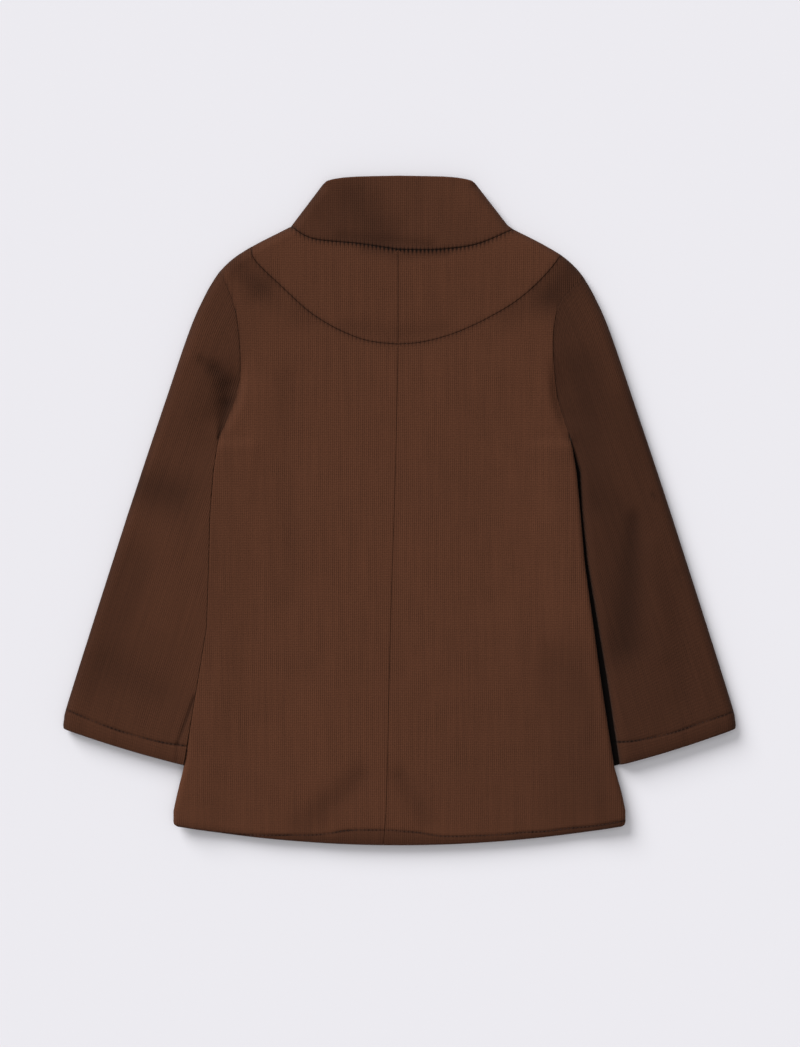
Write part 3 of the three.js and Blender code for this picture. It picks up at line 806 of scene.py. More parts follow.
@dataclass
class Half:
    """Folds and seams of one half of the coat, and the heights of its cloth.

    Attributes:
        side: which half.
        outer_fold: outline from the neck over the shoulder to the cuff.
        side_fold: side of the body, upwards from the hem.
        sleeve_fold: inner edge of the sleeve, down from the underarm; it slips under the side fold.
        armhole: seam of the back, down from the shoulder.
        front_armhole: seam of the front.
        neck: seam of the collar, outwards from the centre.
        yoke_seam: seam of the yoke, outwards from the centre.
    """

    side: Side
    outer_fold: Array = field(init=False)
    side_fold: Array = field(init=False)
    sleeve_fold: Array = field(init=False)
    armhole: Array = field(init=False)
    front_armhole: Array = field(init=False)
    neck: Array = field(init=False)
    yoke_seam: Array = field(init=False)

    def __post_init__(self) -> None:
        """Works the lines out from the tables."""
        sign = self.side.value
        self.outer_fold = curve(OUTER_FOLD) * (sign, 1)
        y = np.linspace(float(hem_at(SIDE_SECTIONS[-1].right * MM)), UNDERARM_Y, FOLD_STEPS)
        self.side_fold = np.stack([section_at(y, self.side.word), y], axis=-1)
        y = np.linspace(UNDERARM_Y, SLEEVE_END_Y, FOLD_STEPS)
        tuck = TUCK * (1 - smoothstep(y, TUCKED_Y, TUCK_START_Y))
        self.sleeve_fold = np.stack([self.showing_at(y) - sign * tuck, y], axis=-1)
        self.armhole = curve(ARMHOLE_SEAM[self.side])
        run = run_of(self.armhole)
        scoop = FRONT_SCOOP * np.sin(np.pi * run / run[-1]) ** 2
        self.front_armhole = self.armhole - np.stack([sign * scoop, 0 * scoop], axis=-1)
        self.neck = curve(NECK_SEAM[self.side])
        self.yoke_seam = curve(YOKE_SEAM[self.side])

    @property
    def strip_x(self) -> float:
        """x on this side where the strip that passes the centre line begins."""
        return self.side.value * (FRONT_OVERLAP + STEP_CLEAR)

    def showing_at(self, y: Array) -> Array:
        """x of the sleeve's edge that shows beside the side fold."""
        return section_at(y, self.side.word) + self.side.value * section_at(y, f"gap_{self.side.word}")

    def outline_between(self, start_x: float, end_x: float) -> Array:
        """Part of the outline.

        Args:
            start_x: x where it starts, on either side of the centre line.
            end_x: x where it ends; far past the cuff for the whole rest.

        Returns:
            Points from the start to the end.
        """
        distance = np.abs(self.outer_fold[:, 0])
        run = run_of(self.outer_fold)
        first, last = (np.interp(abs(x), distance, run) / run[-1] for x in (start_x, end_x))
        return along(self.outer_fold, np.linspace(first, last, OUTLINE_STEPS))

    def lifted_at(self, p: Array, fade: float) -> Array:
        """How far the side lies on the sleeve's margin: 1 at the fold, 0 from the fade inwards."""
        inset = (section_at(p[..., 1], self.side.word) - p[..., 0]) * self.side.value
        return pressed_at(p[..., 1]) * (1 - smoothstep(inset, SIDE_SHELF, fade))

    def body_top(self, piece: str, p: Array) -> Array:
        """Height of the back: its loft, raised on the sleeve's margin, sunk at the armhole and creased.

        Args:
            piece: whose creases are taken, or an empty name for none.
            p: places in plan.

        Returns:
            The height at each place.
        """
        dip = armhole_dip_at(p[..., 1]) * bell(distance_to(self.armhole, p), BODY_DIP_WIDTH)
        loft = loft_at(p[..., 1]) + (SIDE_LOFT - BODY_LOFT) * self.lifted_at(p, SIDE_RISE)
        return loft - dip - creases_at(piece, p)[0]

    def body_bottom(self, p: Array) -> Array:
        """Height of the fronts' underside at p: on the table, and lifted where it lies on the sleeve."""
        return SIDE_LIFT * self.lifted_at(p, SIDE_SLOPE)

    def sleeve_top(self, piece: str, p: Array) -> Array:
        """Height of the sleeve: sunk at the armhole, creased, and flat where it slips under the side.

        From the edge that shows it comes up by a quarter ellipse.

        Args:
            piece: whose creases are taken.
            p: places in plan.

        Returns:
            The height at each place.
        """
        near = distance_to(self.armhole, p)
        full = lerp(loft_at(p[..., 1]), SLEEVE_LOFT, smoothstep(near, 0, SHOULDER_BLEND))
        dip = armhole_dip_at(p[..., 1]) * bell(near, SLEEVE_DIP_WIDTH)
        share = np.clip(self.past_edge(p) / EDGE_REACH[self.side], 0, 1)
        pressed = pressed_at(p[..., 1]) * (1 - np.sqrt(1 - (1 - share) ** 2))
        return lerp(full - dip - creases_at(piece, p)[0], TUCKED_LOFT, pressed)

    def past_edge(self, p: Array) -> Array:
        """Signed distance of p past the sleeve's edge that shows beside the side fold."""
        return (p[..., 0] - self.showing_at(p[..., 1])) * self.side.value

    def painted_gap_mask_at(self, p: Array) -> Array:
        """Distance past the edge that masks the painted shade of the gap: large on the left and above the
        underarm, where none is painted.
        """
        if self.side is Side.LEFT:
            return np.full(p.shape[:-1], NOTHING_NEAR)
        return self.past_edge(p) + PAINTED_GAP_END * np.maximum(0, p[..., 1] - UNDERARM_Y)

    def body_fold(self, p: Array) -> Near:
        """Distance of p to the folded outline and side, and the direction into the body."""
        inside = np.stack([0 * p[..., 0], p[..., 1] - BELOW], axis=-1)
        return nearest([self.outer_fold, self.side_fold], p, inside)

    def body_cloth(self, piece: str, plan: Array, layer: Layer, seams: list[Seam],
                   step: Number = 0) -> Cloth:
        """Cloth of a body panel.

        Args:
            piece: its name.
            plan: rows of points.
            layer: the back or the front.
            seams: its edges.
            step: how far its underside is raised.

        Returns:
            The cloth, with squarer folds where it lies beside the sleeve.
        """
        top = self.body_top(piece if layer is Layer.TOP else "", plan)
        from_hem = plan[..., 1] - hem_at(plan[..., 0])
        wall = hemmed_at(from_hem)
        if layer is Layer.TOP:
            top = top - BAND_DROP * np.maximum(0, 1 - from_hem / BAND_WIDTH) ** 2
        outline = distance_to(self.outer_fold, plan)
        level = smoothstep(plan[..., 1], *CRISP_FROM) * smoothstep(plan[..., 1], *CRISP_UNTIL)
        bottom = self.body_bottom(plan) + step
        return Cloth(
            piece, plan, top, bottom, layer, self.body_fold(plan), wall, seams, outline,
            gap=SEAM_GAP, band=HEM_BAND_SHADE, power=lerp(2, CRISP_POWER[self.side], level),
        )

    def panel_edge(self, armhole: Array, shoulder_end: float) -> Array:
        """Outline of a body panel from the hem up the side, the armhole and the shoulder.

        Args:
            armhole: the panel's own armhole seam.
            shoulder_end: x where its part of the shoulder ends.

        Returns:
            Points upwards.
        """
        corner_x = self.side_fold[0, 0]
        corner = np.array([[corner_x, hem_at(corner_x)]])
        shoulder = self.outline_between(armhole[0, 0], shoulder_end)
        return np.concatenate([corner, self.side_fold[1:], armhole[-2::-1], shoulder[1:]])

    def front_step(self, x: Array, cloth: Number) -> Array:
        """How far a layer of the given cloth is raised at x: the left one climbs on the right one."""
        if self.side is Side.RIGHT:
            return 0 * x
        return (cloth + SEAM_GAP) * smoothstep(x, self.strip_x - FRONT_STEP, self.strip_x)

    def front_neck(self, u: Array) -> Array:
        """Neckline of the front from the strip out to the neck point."""
        end = self.neck[-1]
        x = lerp(self.strip_x, end[0], u)
        return np.stack([x, front_neck_at(x) + (end[1] - front_neck_at(end[0])) * u**2], axis=-1)

    def with_strip(self, plan: Array, v: Array, low_at: HeightAt, high_at: HeightAt) -> Array:
        """Plan of a front part with the strip that passes the centre line.

        Args:
            plan: rows of points, from the strip out.
            v: stations along.
            low_at: y of the lower edge at x.
            high_at: y of the upper edge at x.

        Returns:
            The longer rows of points.
        """
        x = np.linspace(-self.side.value * FRONT_OVERLAP, self.strip_x, FRONT_STRIP, endpoint=False)
        low, high = np.stack([x, low_at(x)], -1), np.stack([x, high_at(x)], -1)
        return np.concatenate([lerp(low[None], high[None], v[:, None, None]), plan], axis=1)


def stitch_offset(rows: list, points: Array) -> Array:
    """Signed distance to a stitch line across the piece: the height above it times its slope's cosine.

    Args:
        rows: the line's table.
        points: places in plan.

    Returns:
        The distance, above 0 on the side away from the edge.
    """
    line = curve(rows)
    height = points[..., 1] - np.interp(points[..., 0], line[:, 0], line[:, 1])
    slope = np.interp(points[..., 0], line[:, 0], np.gradient(line[:, 1], line[:, 0]))
    return height / np.sqrt(1 + slope**2)


class Grain(NamedTuple):
    """Noise: how fine and how detailed it is, and how far it swings."""

    scale: float
    detail: float
    swing: float = 1.0


class Nodes:
    """Shader nodes of one material."""

    def __init__(self, material: bpy.types.Material) -> None:
        """Empties the material's node tree."""
        material.use_nodes = True
        self.tree = material.node_tree
        self.tree.nodes.clear()

    def add(self, kind: str, settings: dict | None = None, **inputs: object) -> bpy.types.Node:
        """Adds a node.

        Args:
            kind: its type without the ShaderNode prefix.
            settings: its properties.
            **inputs: its sockets by name with _ for a space, or i0, i1 and so on; a socket is linked.

        Returns:
            The node.
        """
        node = self.tree.nodes.new(f"ShaderNode{kind}")
        for key, value in (settings or {}).items():
            setattr(node, key, value)
        for key, value in inputs.items():
            name = int(key[1:]) if key[0] == "i" and key[1:].isdigit() else key.replace("_", " ")
            if isinstance(value, bpy.types.NodeSocket):
                self.tree.links.new(value, node.inputs[name])
            else:
                node.inputs[name].default_value = value
        return node

    def math(self, operation: str, *values: Socket | float) -> Socket:
        """Result of a math node on numbers and sockets."""
        inputs = {f"i{number}": value for number, value in enumerate(values)}
        return self.add("Math", {"operation": operation}, **inputs).outputs[0]

    def product(self, *values: Socket | float) -> Socket:
        """Product of a socket and further sockets and numbers."""
        result = values[0]
        for value in values[1:]:
            result = self.math("MULTIPLY", result, value)
        return result

    def wave(self, coordinate: Socket, pitch: float) -> Socket:
        """Sine of a coordinate, from -1 to 1, that repeats after the pitch."""
        return self.math("SINE", self.math("MULTIPLY", coordinate, 2 * math.pi / pitch))

    def bell(self, distance: Socket, width: float) -> Socket:
        """Bell curve of a distance."""
        square = self.math("POWER", self.math("DIVIDE", self.math("ABSOLUTE", distance), width), 2.0)
        return self.math("EXPONENT", self.math("MULTIPLY", square, -1.0))

    def noise(self, vector: Socket, grain: Grain, middle: Socket | float = 0.0) -> Socket:
        """Noise about a middle: the middle and the swing times noise from -0.5 to 0.5."""
        node = self.add("TexNoise", Vector=vector, Scale=grain.scale, Detail=grain.detail)
        centred = self.math("SUBTRACT", node.outputs["Fac"], 0.5)
        return self.math("MULTIPLY_ADD", centred, grain.swing, middle)

    def attribute(self, name: str) -> Socket:
        """One of the mesh's own numbers."""
        return self.add("Attribute", {"attribute_name": name}).outputs["Fac"]

    def scaled(self, colour: Colour, factor: Socket) -> Socket:
        """A colour times a factor."""
        return self.add("VectorMath", {"operation": "SCALE"}, i0=colour, Scale=factor).outputs[0]

    def finish(self, **inputs: Socket | float | tuple) -> None:
        """Adds the surface shader with its inputs by name, and the material's output."""
        self.add("OutputMaterial", Surface=self.add("BsdfPrincipled", **inputs).outputs[0])


@dataclass(frozen=True)
class RibJersey:
    """Bonded fine rib jersey with a dry, slightly napped face.

    Attributes:
        name: of the material.
        colour: of the cloth, linear.
        rib_pitch: width of one rib.
        course_pitch: height of one knitted course.
        tick_pitch: spacing of the pinched ribs at a seam.
        wander: how the ribs stray sideways.
        sag: how the courses stray up and down.
        patch: how the ribs' clearness comes and goes.
        streak: light and dark along the ribs.
        stretch: share by which the streaks' pattern is squeezed along the ribs.
        mottle: wide light and dark.
        fleck: nap of the face.
        gathering: unevenness of a groove along its seam.
        stitching: unevenness of a stitch line.
        rib_contrast: how far a rib's tone swings.
        course_contrast: how far a course's tone swings.
        fleck_contrast: how far the nap's tone swings.
        tick_reach: how far the pinched ribs reach from the seam.
        tick_dark: how much darker a groove is where a rib is pinched.
        groove_least: darkness of a groove where it is plain.
        groove_reach: half width of a seam's groove.
        stitch_reach: half width of a stitch line.
        stitch_dark: how dark a stitch line is.
        stitch_share: share of a groove's unevenness that a stitch line has.
        painted_gap_shade: painted shade in the gap beside the side fold, how much darker the cloth's colour
            is made there.
        painted_gap_between: distances past the edge over which that painted shade fades out.
        relief: height that one unit of the bump stands for.
        course_height: height of a course against a rib.
        fleck_height: height of the nap against a rib.
        tick_height: height of a pinch against a rib.
        bump: strength of the relief.
        roughness: of the surface.
        specular: how much it reflects.
        sheen: how strong its nap's sheen is.
        sheen_roughness: of that sheen.
        sheen_tint: its colour.
    """

    name: str = "rib_jersey"
    colour: Colour = (0.0795, 0.0288, 0.0141)
    rib_pitch: float = 1.55 * MM
    course_pitch: float = 1.9 * MM
    tick_pitch: float = 3.1 * MM
    wander: Grain = Grain(45.0, 2.0, 1.1 * MM)
    sag: Grain = Grain(30.0, 1.0, 2.5 * MM)
    patch: Grain = Grain(55.0, 3.0, 3.2)
    streak: Grain = Grain(420.0, 1.0, 0.3)
    stretch: float = 0.035
    mottle: Grain = Grain(16.0, 3.0, 0.12)
    fleck: Grain = Grain(950.0, 2.0)
    gathering: Grain = Grain(210.0, 2.0, 1.3)
    stitching: Grain = Grain(60.0, 1.0, 1.8)
    rib_contrast: float = 0.1
    course_contrast: float = 0.03
    fleck_contrast: float = 0.7
    tick_reach: float = 3.2 * MM
    tick_dark: float = 0.55
    groove_least: float = 0.6
    groove_reach: float = 1.05 * MM
    stitch_reach: float = 0.8 * MM
    stitch_dark: float = 0.72
    stitch_share: float = 0.85
    painted_gap_shade: float = 0.97
    painted_gap_between: Place = (-0.4 * MM, 0.6 * MM)
    relief: float = 0.16 * MM
    course_height: float = 0.35
    fleck_height: float = 1.6
    tick_height: float = -2.5
    bump: float = 0.6
    roughness: float = 0.88
    specular: float = 0.10
    sheen: float = 0.1
    sheen_roughness: float = 0.45
    sheen_tint: tuple[float, float, float, float] = (0.75, 0.5, 0.4, 1.0)

    def material(self) -> bpy.types.Material:
        """Cloth whose ribs, courses, seams and stitch lines follow the piece's own UV map and attributes,
        with painted shade and light from its tone and edge attributes.

        Returns:
            The material.
        """
        material = bpy.data.materials.new(self.name)
        nodes = Nodes(material)
        weave = nodes.add("UVMap", {"uv_map": "weave"}).outputs[0]
        parts = nodes.add("SeparateXYZ", Vector=weave)
        across = nodes.noise(weave, self.wander, parts.outputs[0])
        up = nodes.noise(weave, self.sag, parts.outputs[1])
        patch = nodes.noise(weave, self.patch, 1.0)
        rib = nodes.product(nodes.wave(across, self.rib_pitch), patch, nodes.attribute("ribs"))
        course = nodes.wave(up, self.course_pitch)
        fleck = nodes.noise(weave, self.fleck)
        tick = nodes.math("MULTIPLY_ADD", nodes.wave(across, self.tick_pitch), 0.5, 0.5)
        seam = nodes.attribute("seam")
        ticks = nodes.product(tick, nodes.bell(seam, self.tick_reach), nodes.attribute("pull"))

        stretched = nodes.add("Mapping", Vector=weave, Scale=(1.0, self.stretch, 1.0)).outputs[0]
        tone = nodes.math("MULTIPLY_ADD", rib, self.rib_contrast, 1.0)
        tone = nodes.math("MULTIPLY_ADD", course, self.course_contrast, tone)
        tone = nodes.noise(stretched, self.streak, tone)
        tone = nodes.noise(weave, self.mottle, tone)
        tone = nodes.math("MULTIPLY_ADD", fleck, self.fleck_contrast, tone)
        # The seams' ticks and grooves and the stitch lines darken the colour, and so does the painted shade
        # of the gap beside the side fold.
        for dark in (ticks, *self.lines(nodes, weave, seam, tick), self.gap(nodes)):
            tone = nodes.math("MULTIPLY", tone, nodes.math("SUBTRACT", 1.0, dark))
        # The mesh's tone is painted shade and light: darker sleeves, collar and fronts, creases, folded
        # rims and the hem band.
        colour = nodes.scaled(self.colour, nodes.math("MULTIPLY", tone, nodes.attribute("tone")))

        height = nodes.math("MULTIPLY_ADD", course, self.course_height, rib)
        height = nodes.math("MULTIPLY_ADD", fleck, self.fleck_height, height)
        height = nodes.math("MULTIPLY_ADD", ticks, self.tick_height, height)
        bump = nodes.add("Bump", Strength=self.bump, Distance=self.relief, Height=height).outputs[0]
        nodes.finish(
            Base_Color=colour, Roughness=self.roughness, Normal=bump, Specular_IOR_Level=self.specular,
            Sheen_Weight=self.sheen, Sheen_Roughness=self.sheen_roughness, Sheen_Tint=self.sheen_tint,
        )
        return material

    def lines(self, nodes: Nodes, weave: Socket, seam: Socket, tick: Socket) -> tuple[Socket, Socket]:
        """Darkness of the seams' grooves and of the stitch lines, uneven along each.

        Args:
            nodes: of the material.
            weave: place across and along the ribs.
            seam: distance to the nearest seam.
            tick: 1 on a pinched rib, 0 between two.

        Returns:
            The two sockets.
        """
        rough = nodes.noise(weave, self.gathering, self.groove_least)
        gathered = nodes.math("MULTIPLY_ADD", tick, self.tick_dark, rough)
        groove = nodes.product(nodes.bell(seam, self.groove_reach), nodes.attribute("groove"), gathered)
        uneven = nodes.noise(weave, self.stitching, nodes.math("MULTIPLY", gathered, self.stitch_share))
        stitch = nodes.bell(nodes.attribute("stitch"), self.stitch_reach)
        return groove, nodes.product(stitch, self.stitch_dark, uneven)

    def gap(self, nodes: Nodes) -> Socket:
        """Painted shade of the gap beside the side fold: the cloth's colour darkened where the slot lies in
        shadow.
        """
        low, high = self.painted_gap_between
        edge = nodes.attribute("edge")
        return nodes.add("MapRange", Value=edge, From_Min=high, From_Max=low, To_Min=0.0,
                         To_Max=self.painted_gap_shade).outputs[0]


@dataclass(frozen=True)
class Thread:
    """Sewing thread of twisted plies.

    Attributes:
        name: of the material.
        colour: of the thread, linear.
        ply_pitch: from one ply to the next along the thread.
        ply_contrast: how far a ply's tone swings.
        roughness: of the surface.
        specular: how much it reflects.
    """

    name: str = "thread"
    colour: Colour = (0.042, 0.017, 0.0105)
    ply_pitch: float = 0.5 * MM
    ply_contrast: float = 0.2
    roughness: float = 0.6
    specular: float = 0.3

    def material(self) -> bpy.types.Material:
        """Thread whose plies show as bands across the stitch."""
        material = bpy.data.materials.new(self.name)
        nodes = Nodes(material)
        place = nodes.add("TexCoord").outputs["Object"]
        parts = nodes.add("SeparateXYZ", Vector=place)
        ply = nodes.wave(nodes.math("ADD", parts.outputs[0], parts.outputs[1]), self.ply_pitch)
        colour = nodes.scaled(self.colour, nodes.math("MULTIPLY_ADD", ply, self.ply_contrast, 1.0))
        nodes.finish(Base_Color=colour, Roughness=self.roughness, Specular_IOR_Level=self.specular)
        return material


@dataclass
class Workroom:
    """Finishes the pieces: gives each its material, puts it under the body and hides the node that it
    stands for.

    Attributes:
        cloth: material of the pieces.
        thread: material of their stitches.
        made: names of the finished pieces.
    """

    cloth: bpy.types.Material
    thread: bpy.types.Material
    made: list[str] = field(default_factory=list)

    def finish(self, shell: Shell, node: str, plan: Array, rests_on: list[str], layers: int = 1,
               stitches: bpy.types.Object | None = None) -> None:
        """Makes a cloth piece that replaces its node.

        Args:
            shell: the cloth wall.
            node: the node that it stands for.
            plan: its outline as rows of points; not used.
            rests_on: what it lies on; not used.
            layers: how many times its plan its cut is; not used.
            stitches: a row of stitches on it.
        """
        piece = shell.make(f"{node}_cloth")
        piece.data.materials.append(self.cloth)
        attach(piece, BODY)
        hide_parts(node)
        extras = [stitches] if stitches else []
        for extra in extras:
            extra.data.materials.append(self.thread)
            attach(extra, BODY)
        self.made.append(piece.name)


@dataclass(frozen=True)
class Stitching:
    """Short stitches that lie in a row on the cloth.

    Attributes:
        pitch: from one stitch to the next.
        length: of one stitch.
        radius: of the thread.
        sunk: how far the thread's middle lies below the cloth's face.
        dip: how far its ends dip into the cloth, as a share of the radius.
        thinnest: least share of the radius, squared, at the ends.
        rings: rings of points along a stitch.
        around: points round each ring.
        ahead: share of the row's length over which its direction is taken.
    """

    pitch: float = 2.9 * MM
    length: float = 1.9 * MM
    radius: float = 0.17 * MM
    sunk: float = 0.05 * MM
    dip: float = 1.2
    thinnest: float = 0.02
    rings: int = 7
    around: int = 6
    ahead: float = 1e-3

    def row(self, name: str, line: Array, height_at: HeightAt) -> bpy.types.Object:
        """Row of stitches along a line.

        Each stitch is a round bar along the line, as thick as the square root of 1 - t^2 at the share t of
        its half length, that dips into the cloth at both ends by the fourth power of t.

        Args:
            name: of the joined piece.
            line: its path in plan.
            height_at: gives the cloth's height at points of the plan.

        Returns:
            One object with all the stitches.
        """
        count = int(run_of(line)[-1] / self.pitch)
        share = (np.arange(count) + 0.5) / count
        middle = along(line, share)
        step = along(line, share + self.ahead) - middle
        step /= np.linalg.norm(step, axis=-1, keepdims=True)
        side = np.stack([-step[:, 1], step[:, 0]], axis=-1)
        t = np.sin(np.linspace(-0.5, 0.5, self.rings) * np.pi)
        angle = np.linspace(0, 2 * np.pi, self.around, endpoint=False)
        thick = self.radius * np.sqrt(np.maximum(1 - t**2, self.thinnest))
        plan = (
            middle[:, None, None]
            + step[:, None, None] * (t * self.length / 2)[None, :, None, None]
            + side[:, None, None] * (thick[:, None] * np.cos(angle))[None, ..., None]
        )
        lift = thick[:, None] * np.sin(angle) - self.sunk - self.dip * self.radius * (t**4)[:, None]
        vertices = np.concatenate([plan, (height_at(plan) + lift)[..., None]], axis=-1).reshape(-1, 3)
        mesh = bpy.data.meshes.new(name)
        mesh.from_pydata(vertices.tolist(), [], self.faces(count))
        mesh.polygons.foreach_set("use_smooth", np.ones(len(mesh.polygons), bool))
        return linked(name, mesh)

    def faces(self, count: int) -> list[list[int]]:
        """Faces of all the stitches: the sides between the rings, and a cap at each end."""
        grid = np.arange(self.rings * self.around).reshape(self.rings, self.around)
        caps = np.stack([grid[0, ::-1], grid[-1]])
        grid = np.concatenate([grid, grid[:, :1]], axis=1)
        sides = np.stack([grid[:-1, :-1], grid[:-1, 1:], grid[1:, 1:], grid[1:, :-1]], -1).reshape(-1, 4)
        first = (np.arange(count) * self.rings * self.around)[:, None, None]
        both = ((sides[None] + first).reshape(-1, 4), (caps[None] + first).reshape(-1, self.around))
        return [row for part in both for row in part[:, ::-1].tolist()]


@dataclass
class BodyPanels:
    """Back halves, yoke halves and the fronts under them.

    Attributes:
        room: finishes the pieces.
        halves: the two sides of the coat.
        tone: brightness of the back.
        yoke_tone: brightness of the yoke.
        front_tone: brightness of the fronts, lower than the back's as painted shade.
    """

    room: Workroom
    halves: list[Half]
    tone: float = 1.0
    yoke_tone: float = 1.0
    front_tone: float = 0.85

    def build(self) -> None:
        """Makes the panels of both sides."""
        for half in self.halves:
            self.front(half)
        for half in self.halves:
            self.back(half)
            self.yoke(half)

    def back(self, half: Half) -> None:
        """Back panel between the hem, the centre back seam, the yoke seam and the outline.

        Args:
            half: its side of the coat.
        """
        name = f"back_{half.side.word}"
        v, u = dense_ends(BACK_GRID[0]), dense_ends(BACK_GRID[1], FOLD_DENSITY)
        centre = curve(CENTRE_BACK)
        edge = half.panel_edge(half.armhole, half.yoke_seam[-1, 0])
        x = lerp(centre[0, 0], half.side_fold[0, 0], u)
        low = np.stack([x, hem_at(x)], axis=-1)
        plan = blended(low, along(half.yoke_seam, u), along(centre, v), along(edge, v), u, v)
        seams = [
            Seam(half.yoke_seam, roll=0.2, dark=0.3, pull=0.3),
            Seam(centre, roll=0.12, dark=0.05, pull=0.03),
            Seam(half.armhole, roll=0.18, dark=0.16, pull=0.14),
            Seam(hem_line(), roll=0.9, is_sewn=False),
        ]
        plan = drawn_back(plan, seams)
        stitch = stitch_offset(HEM_STITCHING, plan)
        cloth = half.body_cloth(name, plan, Layer.TOP, seams)
        cloth.top = cloth.top - STITCH_SINK * bell(stitch, STITCH_WIDTH)
        shell = cloth.shell(plan, self.tone, stitch)
        self.room.finish(shell, name, plan, [f"front_{half.side.word}"], stitches=self.hem_row(half, name))

    def hem_row(self, half: Half, name: str) -> bpy.types.Object:
        """Hem stitches of one back panel, from the centre seam to where they meet the hem or the side.

        Args:
            half: its side of the coat.
            name: of the panel.

        Returns:
            The row of stitches.
        """
        line = curve(HEM_STITCHING)
        sign = half.side.value
        inner = sign * CENTRE_BACK[0][0] * MM + HEM_ROW_FROM_CENTRE
        outer = abs(half.side_fold[0, 0]) - HEM_ROW_FROM_SIDE
        above_hem = line[:, 1] - hem_at(line[:, 0])
        out = sign * line[:, 0]
        line = line[(out > inner) & (out < outer) & (above_hem > LEAST_ABOVE_HEM)]
        return Stitching().row(f"hem_stitches_{half.side.word}", line,
                               lambda p: half.body_top(name, p) - STITCH_SINK)

    def yoke(self, half: Half) -> None:
        """Yoke between the yoke seam, the neck seam, the centre back seam and the shoulder.

        Args:
            half: its side of the coat.
        """
        name = f"yoke_{half.side.word}"
        v, u = dense_ends(YOKE_GRID[0]), dense_ends(YOKE_GRID[1])
        low, high = along(half.yoke_seam, u), along(half.neck, u)
        edge = along(half.outline_between(low[-1, 0], high[-1, 0]), v)
        middle = lerp(low[0], high[0], v[:, None])
        plan = blended(low, high, middle, edge, u, v)
        seams = [
            Seam(half.yoke_seam, roll=0.2, dark=0.3, pull=0.16),
            Seam(half.neck, roll=0.5, dark=0.7, pull=1.0, fade=0.55),
            Seam(middle, roll=0.15, dark=0.12, pull=0.04),
        ]
        plan = drawn_back(plan, seams)
        cloth = half.body_cloth(name, plan, Layer.TOP, seams)
        self.room.finish(cloth.shell(plan, self.yoke_tone), name, plan, [f"front_{half.side.word}"])

    def front(self, half: Half) -> None:
        """Front panel, which passes the centre line and lies under the back.

        Args:
            half: its side of the coat.
        """
        name = f"front_{half.side.word}"
        v, u = dense_ends(FRONT_GRID[0]), dense_ends(FRONT_GRID[1])
        top = half.front_neck(u)
        edge = half.panel_edge(half.front_armhole, top[-1, 0])
        x = lerp(half.strip_x, half.side_fold[0, 0], u)
        low = np.stack([x, hem_at(x)], axis=-1)
        plan = blended(low, top, lerp(low[0], top[0], v[:, None]), along(edge, v), u, v)
        plan = half.with_strip(plan, v, hem_at, front_neck_at)
        level = [(-half.side.value * FRONT_OVERLAP, FRONT_NECK_Y), (0, FRONT_NECK_Y)]
        neckline = np.concatenate([level, top])
        seams = [
            Seam(neckline, roll=0.9),
            Seam(half.front_armhole, roll=0.8),
            Seam(hem_line(), roll=0.9, is_sewn=False),
        ]
        plan = drawn_back(plan, seams)
        step = half.front_step(plan[..., 0], hemmed_at(plan[..., 1] - hem_at(plan[..., 0])))
        cloth = half.body_cloth(name, plan, Layer.BOTTOM, seams, step)
        self.room.finish(cloth.shell(plan, self.front_tone), name, plan, ["floor"])


